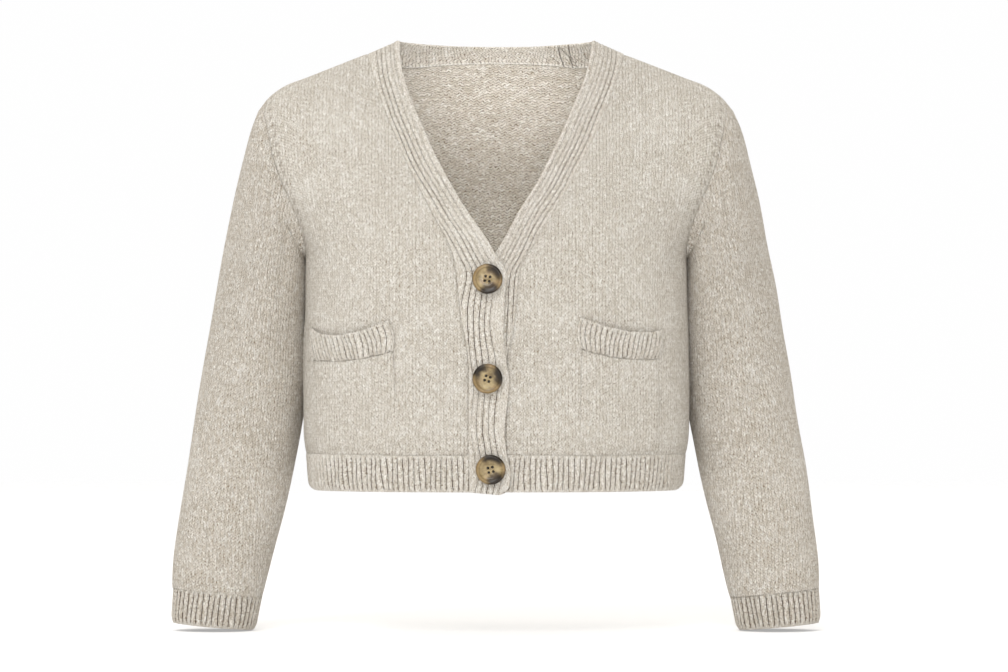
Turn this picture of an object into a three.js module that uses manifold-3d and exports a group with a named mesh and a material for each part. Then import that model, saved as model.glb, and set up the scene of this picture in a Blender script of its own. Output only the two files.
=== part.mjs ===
// V-neck knitted cardigan with three horn buttons, patch pockets and ribbed edges.
// Units are millimetres. +X is the wearer's left, -Y the front, +Z up.
// The origin lies midway between the shoulders at the height of the neck points.
import * as THREE from 'three';
import Module from 'manifold-3d';

const wasm = await Module();
wasm.setup();

// ---- Driving dimensions ----
const JERSEY = 2.5;            // thickness of the plain knit
const RIB = 3.0;               // thickness of the ribbed edges
const POCKET = 2.0;            // thickness of the patch pockets
const SEAM_GAP = 0.3;          // clearance between two sewn pieces
const SHOULDER_X = 228;        // half the shoulder width
const NECK_X = 128;            // where the shoulder seam meets the neck band
const ARMHOLE_TOP = -59.5;
const ARMHOLE_BOTTOM = -215;
const ARMHOLE_HALF_DEPTH = 48;
const SIDE_SEAM_X = 190;       // half the body width at the underarm
const HEM_SEAM_Z = -411;       // where the hem rib is linked to the body
const HEM_Z = -447;
const BODY_CURVE = 2.3;        // roundness of the body's cross-section
const SHOULDER_DROP = 200;     // height over which the front and back round away from the shoulder line
const PANEL_COLUMNS = 8;
const ARMHOLE_STEPS = 10;      // steps down one side of an armhole
const SIDE_STEPS = 5;
const BUTTON_RADIUS = 14.6;
const BUTTON_THICKNESS = 4.4;
const BUTTON_SIDES = 26;
const HOLE_RADIUS = 1.15;
const HOLE_OFFSET = 2.25;      // half the distance between neighbouring holes
const SLIT_LENGTH = 23;        // buttonhole
const SLIT_WIDTH = 4.4;
const SHANK_RADIUS = 1.6;
const WINDING = 0.9;           // thread wound under the button

const COLORS = {
  knit_jersey: 0xd3cabd,
  knit_rib: 0xcfc5b6,
  horn: 0x8d7558,
  thread: 0x3b2f26,
};
const ROUGHNESS = { knit_jersey: 0.95, knit_rib: 0.95, horn: 0.25, thread: 0.8 };

// ---- Small helpers ----
const mix = (a, b, k) => a + (b - a) * k;
const clamp = (v, a, b) => Math.min(b, Math.max(a, v));
const smooth = (a, b, v) => {
  const k = clamp((v - a) / (b - a), 0, 1);
  return k * k * (3 - 2 * k);
};
const point = (x, y, z) => new THREE.Vector3(x, y, z);

// A table holds rows [key, value, ...] with the key going steadily one way.
function lookup(table, key, column = 1) {
  const rising = table[table.length - 1][0] > table[0][0];
  const last = table.length - 1;
  for (let i = 0; i < last; i += 1) {
    const inside = rising ? key <= table[i + 1][0] : key >= table[i + 1][0];
    if (inside || i === last - 1) {
      const k = clamp((key - table[i][0]) / (table[i + 1][0] - table[i][0]), 0, 1);
      return mix(table[i][column], table[i + 1][column], k);
    }
  }
  return table[last][column];
}

// ---- Body form ----
// columns: height z, front depth, back depth, half width below the underarm
const BODY = [
  [40, 86, 88, 190],
  [0, 92, 95, 190],
  [-60, 100, 105, 190],
  [-100, 109, 112, 190],
  [-150, 118, 115, 190],
  [-215, 126, 111, 190],
  [-250, 127, 108, 190],
  [-300, 124, 107, 191],
  [-370, 119, 108, 191.5],
  [-398, 116.5, 107, 190.5],
  [-411, 113, 104.5, 188.5],
  [-430, 111, 102.5, 187],
  [-452, 110, 101.5, 186],
];

// columns: height z, distance of the armhole seam from the centre line
const ARMHOLE = [
  [-59.5, 228],
  [-75, 229],
  [-90, 226],
  [-114, 221],
  [-138, 213],
  [-156, 205],
  [-170, 199],
  [-183, 194.5],
  [-195, 191.5],
  [-207, 190.2],
  [-215, 190],
];

// Height of the shoulder line, carried on over the neck opening.
function ridge(x) {
  const off = Math.max(0, Math.abs(x) - 200) / 28;
  return 43.5 - 0.41 * Math.hypot(x, 40) - 8 * off * off;
}

// How far the cloth has come forward at a height below the shoulder line.
function roundOff(x, z) {
  const rest = clamp((ridge(x) - z) / SHOULDER_DROP, 0, 1);
  return Math.sqrt(1 - (1 - rest) ** 2);
}

const profile = (r) => Math.max(0, 1 - clamp(r, 0, 1) ** BODY_CURVE) ** (1 / BODY_CURVE);
const armholeZ = (angle) => mix(ARMHOLE_TOP, ARMHOLE_BOTTOM, (1 - Math.cos(angle)) / 2);

// The half width that makes the body surface pass through the armhole seam.
function widthTable(column) {
  const rows = [];
  const steps = 48;
  for (let i = 4; i <= steps; i += 1) {
    const angle = (Math.PI * i) / steps;
    const z = armholeZ(angle);
    const x = lookup(ARMHOLE, z);
    const reach = lookup(BODY, z, column) * roundOff(x, z);
    const share = clamp((ARMHOLE_HALF_DEPTH * Math.sin(angle)) / reach, 0, 0.95);
    rows.push([z, x / (1 - share ** BODY_CURVE) ** (1 / BODY_CURVE)]);
  }
  return rows;
}
const FRONT_WIDTH = widthTable(1);
const BACK_WIDTH = widthTable(2);

function halfWidth(z, front) {
  return z < ARMHOLE_BOTTOM ? lookup(BODY, z, 3) : lookup(front ? FRONT_WIDTH : BACK_WIDTH, z);
}

// A point on the middle of the body cloth.
function bodyPoint(x, z, front) {
  const deep = lookup(BODY, z, front ? 1 : 2) * roundOff(x, z) * profile(Math.abs(x) / halfWidth(z, front));
  return point(x, front ? -deep : deep, z);
}

// The body point moved out of the cloth along its own normal.
function bodyOffset(x, z, front, out) {
  const e = 2;
  const here = bodyPoint(x, z, front);
  const du = bodyPoint(x + e, z, front).sub(bodyPoint(x - e, z, front));
  const dv = bodyPoint(x, z + e, front).sub(bodyPoint(x, z - e, front));
  const normal = du.cross(dv).normalize();
  if ((normal.y > 0) === front) normal.negate();
  return here.addScaledVector(normal, out);
}

// ---- Cloth walls ----
// grid[row][column] runs over the middle of the cloth; it is thickened and closed along its rim.
function clothWall(grid, thickness, around = false) {
  const rows = grid.length;
  const cols = grid[0].length;
  const at = (i, j) => grid[clamp(i, 0, rows - 1)][around ? (j + cols) % cols : clamp(j, 0, cols - 1)];
  const positions = [];
  for (const side of [0.5, -0.5]) {
    for (let i = 0; i < rows; i += 1) {
      for (let j = 0; j < cols; j += 1) {
        const along = at(i + 1, j).clone().sub(at(i - 1, j));
        const across = at(i, j + 1).clone().sub(at(i, j - 1));
        const normal = across.cross(along).normalize();
        const p = at(i, j).clone().addScaledVector(normal, side * thickness);
        positions.push(p.x, p.y, p.z);
      }
    }
  }
  const layer = rows * cols;
  const id = (side, i, j) => side * layer + i * cols + (around ? j % cols : j);
  const triangles = [];
  const quad = (a, b, c, d) => triangles.push([a, b, c], [a, c, d]);
  const spans = around ? cols : cols - 1;
  for (let i = 0; i < rows - 1; i += 1) {
    for (let j = 0; j < spans; j += 1) {
      quad(id(0, i, j), id(0, i, j + 1), id(0, i + 1, j + 1), id(0, i + 1, j));
      quad(id(1, i, j), id(1, i + 1, j), id(1, i + 1, j + 1), id(1, i, j + 1));
    }
  }
  for (let j = 0; j < spans; j += 1) {
    quad(id(0, 0, j), id(1, 0, j), id(1, 0, j + 1), id(0, 0, j + 1));
    const e = rows - 1;
    quad(id(0, e, j), id(0, e, j + 1), id(1, e, j + 1), id(1, e, j));
  }
  if (!around) {
    for (let i = 0; i < rows - 1; i += 1) {
      quad(id(0, i, 0), id(0, i + 1, 0), id(1, i + 1, 0), id(1, i, 0));
      const e = cols - 1;
      quad(id(0, i, e), id(1, i, e), id(1, i + 1, e), id(0, i + 1, e));
    }
  }
  return solid(positions, triangles);
}

function solid(positions, triangles) {
  const geometry = new THREE.BufferGeometry();
  geometry.setAttribute('position', new THREE.Float32BufferAttribute(positions, 3));
  geometry.setIndex(triangles.flat());
  return geometry;
}

// Draws one edge of a grid back from its seam.
function drawBack(line, inner, distance) {
  line.forEach((p, k) => {
    const pull = typeof distance === 'number' ? distance : distance[k];
    const way = inner[k].clone().sub(p).normalize();
    p.addScaledVector(way, pull);
  });
}
const column = (grid, j) => grid.map((row) => row[j]);
function trim(grid, { top = 0, bottom = 0, left = 0, right = 0 }) {
  const rows = grid.length;
  const cols = grid[0].length;
  const marks = grid.map((row) => row.map((p) => p.clone()));
  if (top) drawBack(grid[0], marks[1], top);
  if (bottom) drawBack(grid[rows - 1], marks[rows - 2], bottom);
  if (left) drawBack(column(grid, 0), column(marks, 1), left);
  if (right) drawBack(column(grid, cols - 1), column(marks, cols - 2), right);
  return grid;
}

// Mirrors a grid to the wearer's other side and keeps its faces outward.
const mirror = (grid) => grid.map((row) => row.map((p) => point(-p.x, p.y, p.z)).reverse());

// ---- Armhole seam ----
function armholePoint(step, front) {
  const z = armholeZ((Math.PI * step) / ARMHOLE_STEPS);
  const x = lookup(ARMHOLE, z);
  if (step === 0) return point(SHOULDER_X, 0, ARMHOLE_TOP);
  if (step === ARMHOLE_STEPS) return point(SIDE_SEAM_X, 0, ARMHOLE_BOTTOM);
  return bodyPoint(x, z, front);
}

// Outer edge of a body panel: down the armhole, then down the side seam.
function outerEdge(front) {
  const edge = [];
  for (let i = 0; i <= ARMHOLE_STEPS; i += 1) edge.push(armholePoint(i, front));
  for (let i = 1; i <= SIDE_STEPS; i += 1) {
    const z = mix(ARMHOLE_BOTTOM, HEM_SEAM_Z, i / SIDE_STEPS);
    edge.push(point(lookup(BODY, z, 3), 0, z));
  }
  return edge;
}

// Height of a panel row at a place whose top lies at topZ.
function rowZ(row, topZ) {
  if (row > ARMHOLE_STEPS) return mix(ARMHOLE_BOTTOM, HEM_SEAM_Z, (row - ARMHOLE_STEPS) / SIDE_STEPS);
  return mix(topZ, ARMHOLE_BOTTOM, (1 - Math.cos((Math.PI * row) / ARMHOLE_STEPS)) / 2);
}
const ROWS = ARMHOLE_STEPS + SIDE_STEPS;

// ---- Front bands: where the seam and the free edge run ----
// columns: seam z, seam x, edge x, edge z; x counts towards the band's own side of the garment
const TOP_BAND = [
  [-11.5, 128, 96, 0.8],
  [-25, 124.5, 95.5, -12],
  [-44, 119, 92.5, -31],
  [-69, 110, 84.5, -58],
  [-96, 98.5, 72, -88],
  [-123.5, 87, 59, -117],
  [-151, 73.5, 42.5, -148],
  [-178, 59.5, 25, -176],
  [-202, 46.5, 8, -201],
  [-217, 41, -2, -218],
  [-228, 39, -9, -229],
  [-255, 36, -9, -255],
  [-280, 33, -7.5, -280],
  [-298, 29, -8, -300],
  [-318, 26.5, -10.5, -320],
  [-340, 26, -13, -340],
  [-362, 26, -11, -362],
  [-388, 26, -8.5, -388],
  [-411, 26, -11, -411],
  [-430, 26, -14.5, -430],
  [-447, 26, -11, -450],
];
const UNDER_BAND = [
  [-11.5, 128, 96, 0.8],
  [-27, 123, 93.5, -16],
  [-46, 117, 88, -38],
  [-70, 108.5, 78, -63],
  [-94, 98.5, 67.5, -88],
  [-120, 86.5, 55, -114],
  [-145, 73.5, 41.5, -142],
  [-172, 57, 23, -171],
  [-195, 43, 8, -199],
  [-217, 29.5, -5, -219],
  [-228, 24, -13, -232],
  [-250, 21, -20, -252],
  [-285, 17.5, -22.5, -285],
  [-310, 12, -23, -310],
  [-340, 8, -23, -340],
  [-411, 7, -23, -411],
  [-447, 7, -23, -447],
];
const BAND_COLUMNS = 4;
// How far the two bands lift apart where they overlap: at the seam and at the free edge.
const TOP_LIFT = { seam: 0.8, edge: 3.7 };
const UNDER_LIFT = { seam: -0.6, edge: -2.8 };

const lapping = (z) => 1 - smooth(-200, -160, z);

function bandPoint(table, lift, seamZ, v) {
  const x = mix(lookup(table, seamZ, 1), lookup(table, seamZ, 2), v);
  const z = mix(seamZ, lookup(table, seamZ, 3), v);
  if (seamZ > -11.6) return point(x, 0, z);
  return bodyOffset(x, z, true, lapping(seamZ) * mix(lift.seam, lift.edge, v));
}

// columns: seam x, seam z, edge x, edge y, edge z, from the shoulder to the centre back
const BACK_NECK = [
  [128, -11.5, 96, 0, 0.8],
  [122, -16, 92.5, 12, 0.3],
  [108, -21.5, 81, 24, -0.5],
  [84, -23, 62, 31.5, -1.6],
  [46, -19.5, 34, 36.2, -3],
  [0, -18, 0, 37.5, -3.5],
];
const JOIN_X = 74;             // where the two bands are joined behind the left shoulder
const JOIN_ROW = 3;

function backNeckSeam(row) {
  return row === 0 ? point(NECK_X, 0, ridge(NECK_X)) : bodyPoint(BACK_NECK[row][0], BACK_NECK[row][1], false);
}

function backNeckRow(row) {
  const seam = backNeckSeam(row);
  const edge = point(BACK_NECK[row][2], BACK_NECK[row][3], BACK_NECK[row][4]);
  const across = [];
  for (let j = 0; j <= BAND_COLUMNS; j += 1) {
    const v = j / BAND_COLUMNS;
    const p = seam.clone().lerp(edge, v);
    p.z += 1.5 * Math.sin(Math.PI * v);
    across.push(p);
  }
  return across;
}

// ---- Body panels ----
// Spacing of the columns: even at the shoulder, closer towards the side below it.
function columnShare(j, row) {
  const u = j / PANEL_COLUMNS;
  return mix(u, Math.sin((u * Math.PI) / 2), smooth(2, ARMHOLE_STEPS, row));
}

function frontGrid(table) {
  const edge = outerEdge(true);
  const grid = [];
  for (let i = 0; i <= ROWS; i += 1) {
    const seamZ = rowZ(i, ridge(NECK_X));
    const seamX = lookup(table, seamZ, 1);
    const row = [];
    for (let j = 0; j < PANEL_COLUMNS; j += 1) {
      const f = columnShare(j, i);
      const z = rowZ(i, ridge(mix(NECK_X, SHOULDER_X, f)));
      const x = mix(seamX, edge[i].x, f);
      row.push(i === 0 ? point(x, 0, ridge(x)) : bodyPoint(x, z, true));
    }
    row.push(edge[i].clone());
    grid.push(row);
  }
  return grid;
}

const NECK_COLUMNS = BACK_NECK.length - 1;

// Top edge of the back: the neck curve from the centre, then the shoulder seam.
function backTop() {
  const top = [];
  for (let r = NECK_COLUMNS; r >= 0; r -= 1) top.push(backNeckSeam(r));
  for (let j = 1; j < PANEL_COLUMNS; j += 1) {
    const x = mix(NECK_X, SHOULDER_X, columnShare(j, 0));
    top.push(point(x, 0, ridge(x)));
  }
  top.push(point(SHOULDER_X, 0, ARMHOLE_TOP));
  return top;
}

function backGrid() {
  const edge = outerEdge(false);
  const top = backTop();
  const last = top.length - 1;
  const half = [];
  for (let i = 0; i <= ROWS; i += 1) {
    const row = [];
    for (let j = 0; j < last; j += 1) {
      const even = (top[j].x / SHOULDER_X) * edge[i].x;
      const angled = Math.sin((j / last) * (Math.PI / 2)) * edge[i].x;
      const x = mix(even, angled, smooth(2, ARMHOLE_STEPS, i));
      row.push(i === 0 ? top[j].clone() : bodyPoint(x, rowZ(i, top[j].z), false));
    }
    row.push(edge[i].clone());
    half.push(row);
  }
  return half.map((row) => [...row.slice(1).reverse().map((p) => point(-p.x, p.y, p.z)), ...row]);
}

// ---- Sleeves ----
// columns: outer x, outer z, inner x, inner z, half depth, middle y, bulge of the cap
const SLEEVE = [
  [236, -70, 196.5, -213.5, 51, 2, 9],
  [243.5, -88, 196, -231, 55, 8, 8],
  [251, -112, 194.5, -250, 58.5, 14, 6],
  [259.5, -144, 193.5, -272, 61, 20, 4],
  [267.5, -182, 193, -298, 62, 25, 2],
  [275.5, -224, 193, -326, 61, 28, 1],
  [283.5, -268, 194, -355, 58.5, 29, 0],
  [291.5, -313, 197, -385, 55.5, 28, 0],
  [299, -358, 202, -415, 52, 25, 0],
  [306, -403, 208.5, -445, 48.5, 21, 0],
  [312.5, -447, 215.5, -474, 45, 16, 0],
  [318, -488, 223, -503, 41, 11, 0],
  [321.5, -520, 229.5, -531, 37, 7, 0],
  [322.5, -546, 235, -554.5, 33, 4, 0],
];
const CUFF = [
  [322.5, -546, 235, -554.5, 33, 4, 0],
  [323.5, -562, 238, -571, 33.5, 2, 0],
  [324.5, -580, 241, -587.5, 34, 0, 0],
];

// Rings start at the outer line and go round by the front.
function tubeRing([outerX, outerZ, innerX, innerZ, halfDepth, midY, bulge]) {
  const ring = [];
  for (let k = 0; k < 2 * ARMHOLE_STEPS; k += 1) {
    const angle = (Math.PI * k) / ARMHOLE_STEPS;
    const c = (1 + Math.cos(angle)) / 2;
    const swell = bulge * Math.sin(angle) ** 2;
    const x = mix(innerX, outerX, c) + swell;
    const y = midY - halfDepth * Math.sin(angle);
    ring.push(point(x, y, mix(innerZ, outerZ, c)));
  }
  return ring;
}

function armholeRing() {
  const ring = [];
  for (let k = 0; k < 2 * ARMHOLE_STEPS; k += 1) {
    ring.push(k <= ARMHOLE_STEPS ? armholePoint(k, true) : armholePoint(2 * ARMHOLE_STEPS - k, false));
  }
  return ring;
}

// ---- Seam clearances ----
// Two walls that meet at a bend are drawn back until their corners clear each other.
function clearance(edgeDirection, neighbourDirection, thickness) {
  const bend = edgeDirection.clone().negate().angleTo(neighbourDirection);
  return Math.min(3.5, (thickness / 2) * Math.tan(bend / 2)) + 1.5 * SEAM_GAP;
}

const sleeveGrid = [armholeRing(), ...SLEEVE.map(tubeRing)];
const front = { right: frontGrid(TOP_BAND), left: frontGrid(UNDER_BAND) };
const back = backGrid();

// Pull at each armhole point, from the angle between panel and sleeve.
function armholePulls(panelEdge, panelInner, isFront) {
  return panelEdge.map((p, i) => {
    if (i > ARMHOLE_STEPS) return SEAM_GAP;
    const k = isFront ? i : (2 * ARMHOLE_STEPS - i) % (2 * ARMHOLE_STEPS);
    const sleeveWay = sleeveGrid[1][k].clone().sub(sleeveGrid[0][k]);
    return clearance(panelInner[i].clone().sub(p), sleeveWay, JERSEY);
  });
}

const SHOULDER_PULL = 0.5;
const backLast = back[0].length - 1;
const frontPulls = armholePulls(column(front.left, PANEL_COLUMNS), column(front.left, PANEL_COLUMNS - 1), true);
const backPulls = armholePulls(column(back, backLast), column(back, backLast - 1), false);
const sleevePulls = sleeveGrid[0].map((p, k) => {
  return k <= ARMHOLE_STEPS ? frontPulls[k] : backPulls[2 * ARMHOLE_STEPS - k];
});

// ---- Bands, hems and cuffs ----
function frontBandRows(table, lift) {
  const rows = [];
  for (let i = 0; i <= ROWS; i += 1) rows.push(rowZ(i, ridge(NECK_X)));
  rows.push(-429, HEM_Z);
  return rows.map((seamZ, i) => {
    const across = [];
    for (let j = 0; j <= BAND_COLUMNS; j += 1) {
      const v = j / BAND_COLUMNS;
      if (i === 0) {
        const p = backNeckRow(0)[j];
        across.push(p);
      } else across.push(bandPoint(table, lift, seamZ, v));
    }
    return across;
  });
}

const flip = (row) => row.map((p) => point(-p.x, p.y, p.z));

function joinRow() {
  const k = (BACK_NECK[JOIN_ROW - 1][0] - JOIN_X) / (BACK_NECK[JOIN_ROW - 1][0] - BACK_NECK[JOIN_ROW][0]);
  const a = backNeckRow(JOIN_ROW - 1);
  const b = backNeckRow(JOIN_ROW);
  return a.map((p, j) => p.clone().lerp(b[j], k));
}

// The right band runs up the right front, round the back neck and ends behind the left shoulder.
function rightBandGrid() {
  const rows = frontBandRows(TOP_BAND, TOP_LIFT).map(flip).reverse();
  for (let r = 1; r <= NECK_COLUMNS; r += 1) rows.push(flip(backNeckRow(r)));
  for (let r = NECK_COLUMNS - 1; r > JOIN_ROW; r -= 1) rows.push(backNeckRow(r));
  rows.push(backNeckRow(JOIN_ROW));
  return rows;
}

function leftBandGrid() {
  const rows = frontBandRows(UNDER_BAND, UNDER_LIFT);
  const neck = [];
  for (let r = JOIN_ROW; r >= 1; r -= 1) neck.push(backNeckRow(r));
  return [...neck, ...rows];
}

function frontHemGrid(table) {
  const grid = [];
  for (const z of [HEM_SEAM_Z, -429, HEM_Z]) {
    const seamX = lookup(table, z, 1);
    const row = [];
    for (let j = 0; j <= PANEL_COLUMNS; j += 1) {
      const x = mix(seamX, lookup(BODY, z, 3), columnShare(j, ROWS));
      row.push(j === PANEL_COLUMNS ? point(x, 0, z) : bodyPoint(x, z, true));
    }
    grid.push(row);
  }
  return grid;
}

function backHemGrid() {
  const grid = [];
  const last = (back[0].length - 1) / 2;
  for (const z of [HEM_SEAM_Z, -429, HEM_Z]) {
    const row = [];
    for (let j = -last; j <= last; j += 1) {
      const x = Math.sin((j / last) * (Math.PI / 2)) * lookup(BODY, z, 3);
      row.push(Math.abs(j) === last ? point(x, 0, z) : bodyPoint(x, z, false));
    }
    grid.push(row);
  }
  return grid;
}

// ---- Pockets ----
// Corner heights and widths; x counts towards the pocket's own side.
const POCKETS = {
  right: {
    rib: { top: [[104.5, -280.5], [155, -291], [179, -285]], bottom: [[100, -309.5], [141, -317], [178, -317.5]] },
    bag: { top: [[100, -309.5], [141, -317], [178, -317.5]], bottom: [[92.5, -406.5], [138, -408], [179, -408]] },
  },
  left: {
    rib: { top: [[85, -275.5], [128, -287.5], [163.5, -286]], bottom: [[82, -306.5], [122, -314], [158.5, -314.5]] },
    bag: { top: [[82, -306.5], [122, -314], [160, -314.5]], bottom: [[81, -405.5], [122, -407.5], [161, -408.5]] },
  },
};
const POCKET_COLUMNS = 8;
const RIB_GAPE = 2.2;          // how far the sagging pocket mouth stands off the front

function bendLine([a, b, c], u) {
  // a curve through three points
  const lerp = (p, q, k) => [mix(p[0], q[0], k), mix(p[1], q[1], k)];
  const m = [2 * b[0] - (a[0] + c[0]) / 2, 2 * b[1] - (a[1] + c[1]) / 2];
  return lerp(lerp(a, m, u), lerp(m, c, u), u);
}

function pocketGrid(shape, rows, out) {
  const grid = [];
  for (let i = 0; i <= rows; i += 1) {
    const row = [];
    for (let j = 0; j <= POCKET_COLUMNS; j += 1) {
      const u = j / POCKET_COLUMNS;
      const t = bendLine(shape.top, u);
      const b = bendLine(shape.bottom, u);
      const v = i / rows;
      row.push(bodyOffset(mix(t[0], b[0], v), mix(t[1], b[1], v), true, out(v, u)));
    }
    grid.push(row);
  }
  return grid;
}
const ON_PANEL = JERSEY / 2 + 2 * SEAM_GAP;
const bagGrid = (shape) => pocketGrid(shape, 5, () => ON_PANEL + POCKET / 2);
const ribGrid = (shape) => pocketGrid(shape, 2, (v, u) => {
  return ON_PANEL + RIB / 2 + RIB_GAPE * (1 - v) * Math.sin(Math.PI * u);
});

// ---- Buttons ----
// columns: name, x, height z, turn of the holes in degrees
const BUTTONS = [
  ['button_top', -8, -238.5, 18],
  ['button_middle', -8, -335, 14],
  ['button_bottom', -5, -424, 24],
];
// columns: radius, height above the back of the button
const BUTTON_PROFILE = [
  [0, 0],
  [11.2, 0],
  [13.6, 0.7],
  [BUTTON_RADIUS, 2.2],
  [14.2, 3.7],
  [12.9, BUTTON_THICKNESS],
  [11.4, 4.1],
  [9.6, 3.2],
  [0, 2.9],
];

function turned(rings, sides) {
  const positions = [];
  const triangles = [];
  const start = [];
  rings.forEach(([r, h]) => {
    start.push(positions.length / 3);
    const count = r === 0 ? 1 : sides;
    for (let k = 0; k < count; k += 1) {
      const a = (2 * Math.PI * k) / sides;
      positions.push(r * Math.cos(a), r * Math.sin(a), h);
    }
  });
  for (let i = 0; i < rings.length - 1; i += 1) {
    for (let k = 0; k < sides; k += 1) {
      const n = (k + 1) % sides;
      const a = rings[i][0] === 0 ? start[i] : start[i] + k;
      const b = rings[i][0] === 0 ? start[i] : start[i] + n;
      const c = rings[i + 1][0] === 0 ? start[i + 1] : start[i + 1] + n;
      const d = rings[i + 1][0] === 0 ? start[i + 1] : start[i + 1] + k;
      if (a !== b) triangles.push([a, b, c]);
      if (c !== d) triangles.push([a, c, d]);
    }
  }
  return solid(positions, triangles);
}

function rod(radius, bottom, top, sides) {
  return turned([[0, bottom], [radius, bottom], [radius, top], [0, top]], sides);
}

function toManifold(geometry) {
  const mesh = new wasm.Mesh({
    numProp: 3,
    vertProperties: new Float32Array(geometry.attributes.position.array),
    triVerts: new Uint32Array(geometry.index.array),
  });
  return new wasm.Manifold(mesh);
}

function fromManifold(manifold) {
  const mesh = manifold.getMesh();
  const geometry = new THREE.BufferGeometry();
  geometry.setAttribute('position', new THREE.Float32BufferAttribute(mesh.vertProperties, 3));
  geometry.setIndex(Array.from(mesh.triVerts));
  return geometry;
}

const holePlaces = [[1, 1], [-1, 1], [-1, -1], [1, -1]].map(([a, b]) => [a * HOLE_OFFSET, b * HOLE_OFFSET]);

function buttonShape() {
  let body = toManifold(turned(BUTTON_PROFILE, BUTTON_SIDES));
  for (const [x, y] of holePlaces) {
    body = body.subtract(toManifold(rod(HOLE_RADIUS, -1, 6, 10).translate(x, y, 0)));
  }
  return fromManifold(body);
}

// A wound shank behind the button with a strand standing in each hole.
function threadShape(length) {
  let body = toManifold(rod(3.9, -WINDING - 0.3, -0.3, 14));
  body = body.add(toManifold(rod(SHANK_RADIUS, -length, -0.8, 12)));
  for (const [x, y] of holePlaces) {
    body = body.add(toManifold(rod(0.75, -0.8, 2.1, 8).translate(x, y, 0)));
  }
  return fromManifold(body);
}

// Height of a band's outer face over the middle of the body cloth.
function bandFace(table, lift, x, z) {
  const seam = lookup(table, z, 1);
  const v = (seam - x) / (seam - lookup(table, z, 2));
  return mix(lift.seam, lift.edge, v) + RIB / 2;
}

function slotShape() {
  const w = SLIT_WIDTH / 2;
  const l = SLIT_LENGTH / 2;
  return new THREE.BoxGeometry(2 * w, 2 * l, 8);
}

// Places a shape drawn along +Z so that its +Z faces forwards out of the band.
function onBand(x, z, out, turn) {
  const at = bodyOffset(x, z, true, out);
  const normal = at.clone().sub(bodyOffset(x, z, true, out - 1)).normalize();
  const turnFirst = new THREE.Matrix4().makeRotationZ((turn * Math.PI) / 180);
  const aim = new THREE.Matrix4().makeRotationFromQuaternion(
    new THREE.Quaternion().setFromUnitVectors(point(0, 0, 1), normal),
  );
  return new THREE.Matrix4().makeTranslation(at.x, at.y, at.z).multiply(aim).multiply(turnFirst);
}

function boxGeometryIndexed(geometry) {
  const keys = new Map();
  const positions = [];
  const source = geometry.attributes.position;
  const map = [];
  for (let i = 0; i < source.count; i += 1) {
    const p = [source.getX(i), source.getY(i), source.getZ(i)];
    const key = p.map((v) => v.toFixed(4)).join();
    if (!keys.has(key)) {
      keys.set(key, positions.length / 3);
      positions.push(...p);
    }
    map.push(keys.get(key));
  }
  const result = new THREE.BufferGeometry();
  result.setAttribute('position', new THREE.Float32BufferAttribute(positions, 3));
  result.setIndex(Array.from(geometry.index.array).map((i) => map[i]));
  return result;
}

// ---- Assembly ----
const group = new THREE.Group();
group.name = 'cardigan';
const materials = {};
for (const name of Object.keys(COLORS)) {
  materials[name] = new THREE.MeshStandardMaterial({
    name,
    color: COLORS[name],
    roughness: ROUGHNESS[name],
    metalness: 0,
    side: THREE.FrontSide,
  });
}

function add(name, geometry, material) {
  const flat = geometry.index ? geometry.toNonIndexed() : geometry;
  flat.computeVertexNormals();
  const mesh = new THREE.Mesh(flat, materials[material]);
  mesh.name = name;
  group.add(mesh);
}

const BAND_PULL = { left: SEAM_GAP };

add('back', clothWall(
  trim(backGrid(), { top: SHOULDER_PULL, bottom: 0.2, left: backPulls, right: backPulls }), JERSEY), 'knit_jersey');
const panelTrim = { top: SHOULDER_PULL, bottom: 0.2, left: 0.3, right: frontPulls };
add('front_left', clothWall(trim(front.left, panelTrim).map((row) => [...row].reverse()), JERSEY), 'knit_jersey');
add('front_right', clothWall(mirror(trim(front.right, panelTrim)).map((row) => [...row].reverse()), JERSEY),
  'knit_jersey');

drawBack(sleeveGrid[0], sleeveGrid[1].map((p) => p.clone()), sleevePulls);
drawBack(sleeveGrid[sleeveGrid.length - 1], sleeveGrid[sleeveGrid.length - 2], 0.2);
const cuffGrid = CUFF.map(tubeRing);
drawBack(cuffGrid[0], cuffGrid[1], 0.2);
add('sleeve_left', clothWall(sleeveGrid, JERSEY, true), 'knit_jersey');
add('sleeve_right', clothWall(mirror(sleeveGrid), JERSEY, true), 'knit_jersey');
add('cuff_left', clothWall(cuffGrid, RIB, true), 'knit_rib');
add('cuff_right', clothWall(mirror(cuffGrid), RIB, true), 'knit_rib');

const hemTrim = { top: 0.2, left: SEAM_GAP, right: SEAM_GAP };
const leftHem = trim(frontHemGrid(UNDER_BAND), hemTrim);
const rightHem = trim(frontHemGrid(TOP_BAND), hemTrim);
add('hem_front_left', clothWall(leftHem.map((row) => [...row].reverse()), RIB), 'knit_rib');
add('hem_front_right', clothWall(mirror(rightHem).map((row) => [...row].reverse()), RIB), 'knit_rib');
add('hem_back', clothWall(trim(backHemGrid(), { top: 0.2, left: SEAM_GAP, right: SEAM_GAP }), RIB), 'knit_rib');

const rightBand = trim(rightBandGrid(), { ...BAND_PULL, bottom: SEAM_GAP });
const leftBand = trim(leftBandGrid(), { ...BAND_PULL, top: SEAM_GAP });
let bandSolid = toManifold(clothWall(rightBand, RIB));
for (const [, x, z] of BUTTONS) {
  const slot = boxGeometryIndexed(slotShape()).applyMatrix4(onBand(x, z, 2, 0));
  bandSolid = bandSolid.subtract(toManifold(slot));
}
add('band_right', fromManifold(bandSolid), 'knit_rib');
add('band_left', clothWall(leftBand, RIB), 'knit_rib');

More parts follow.
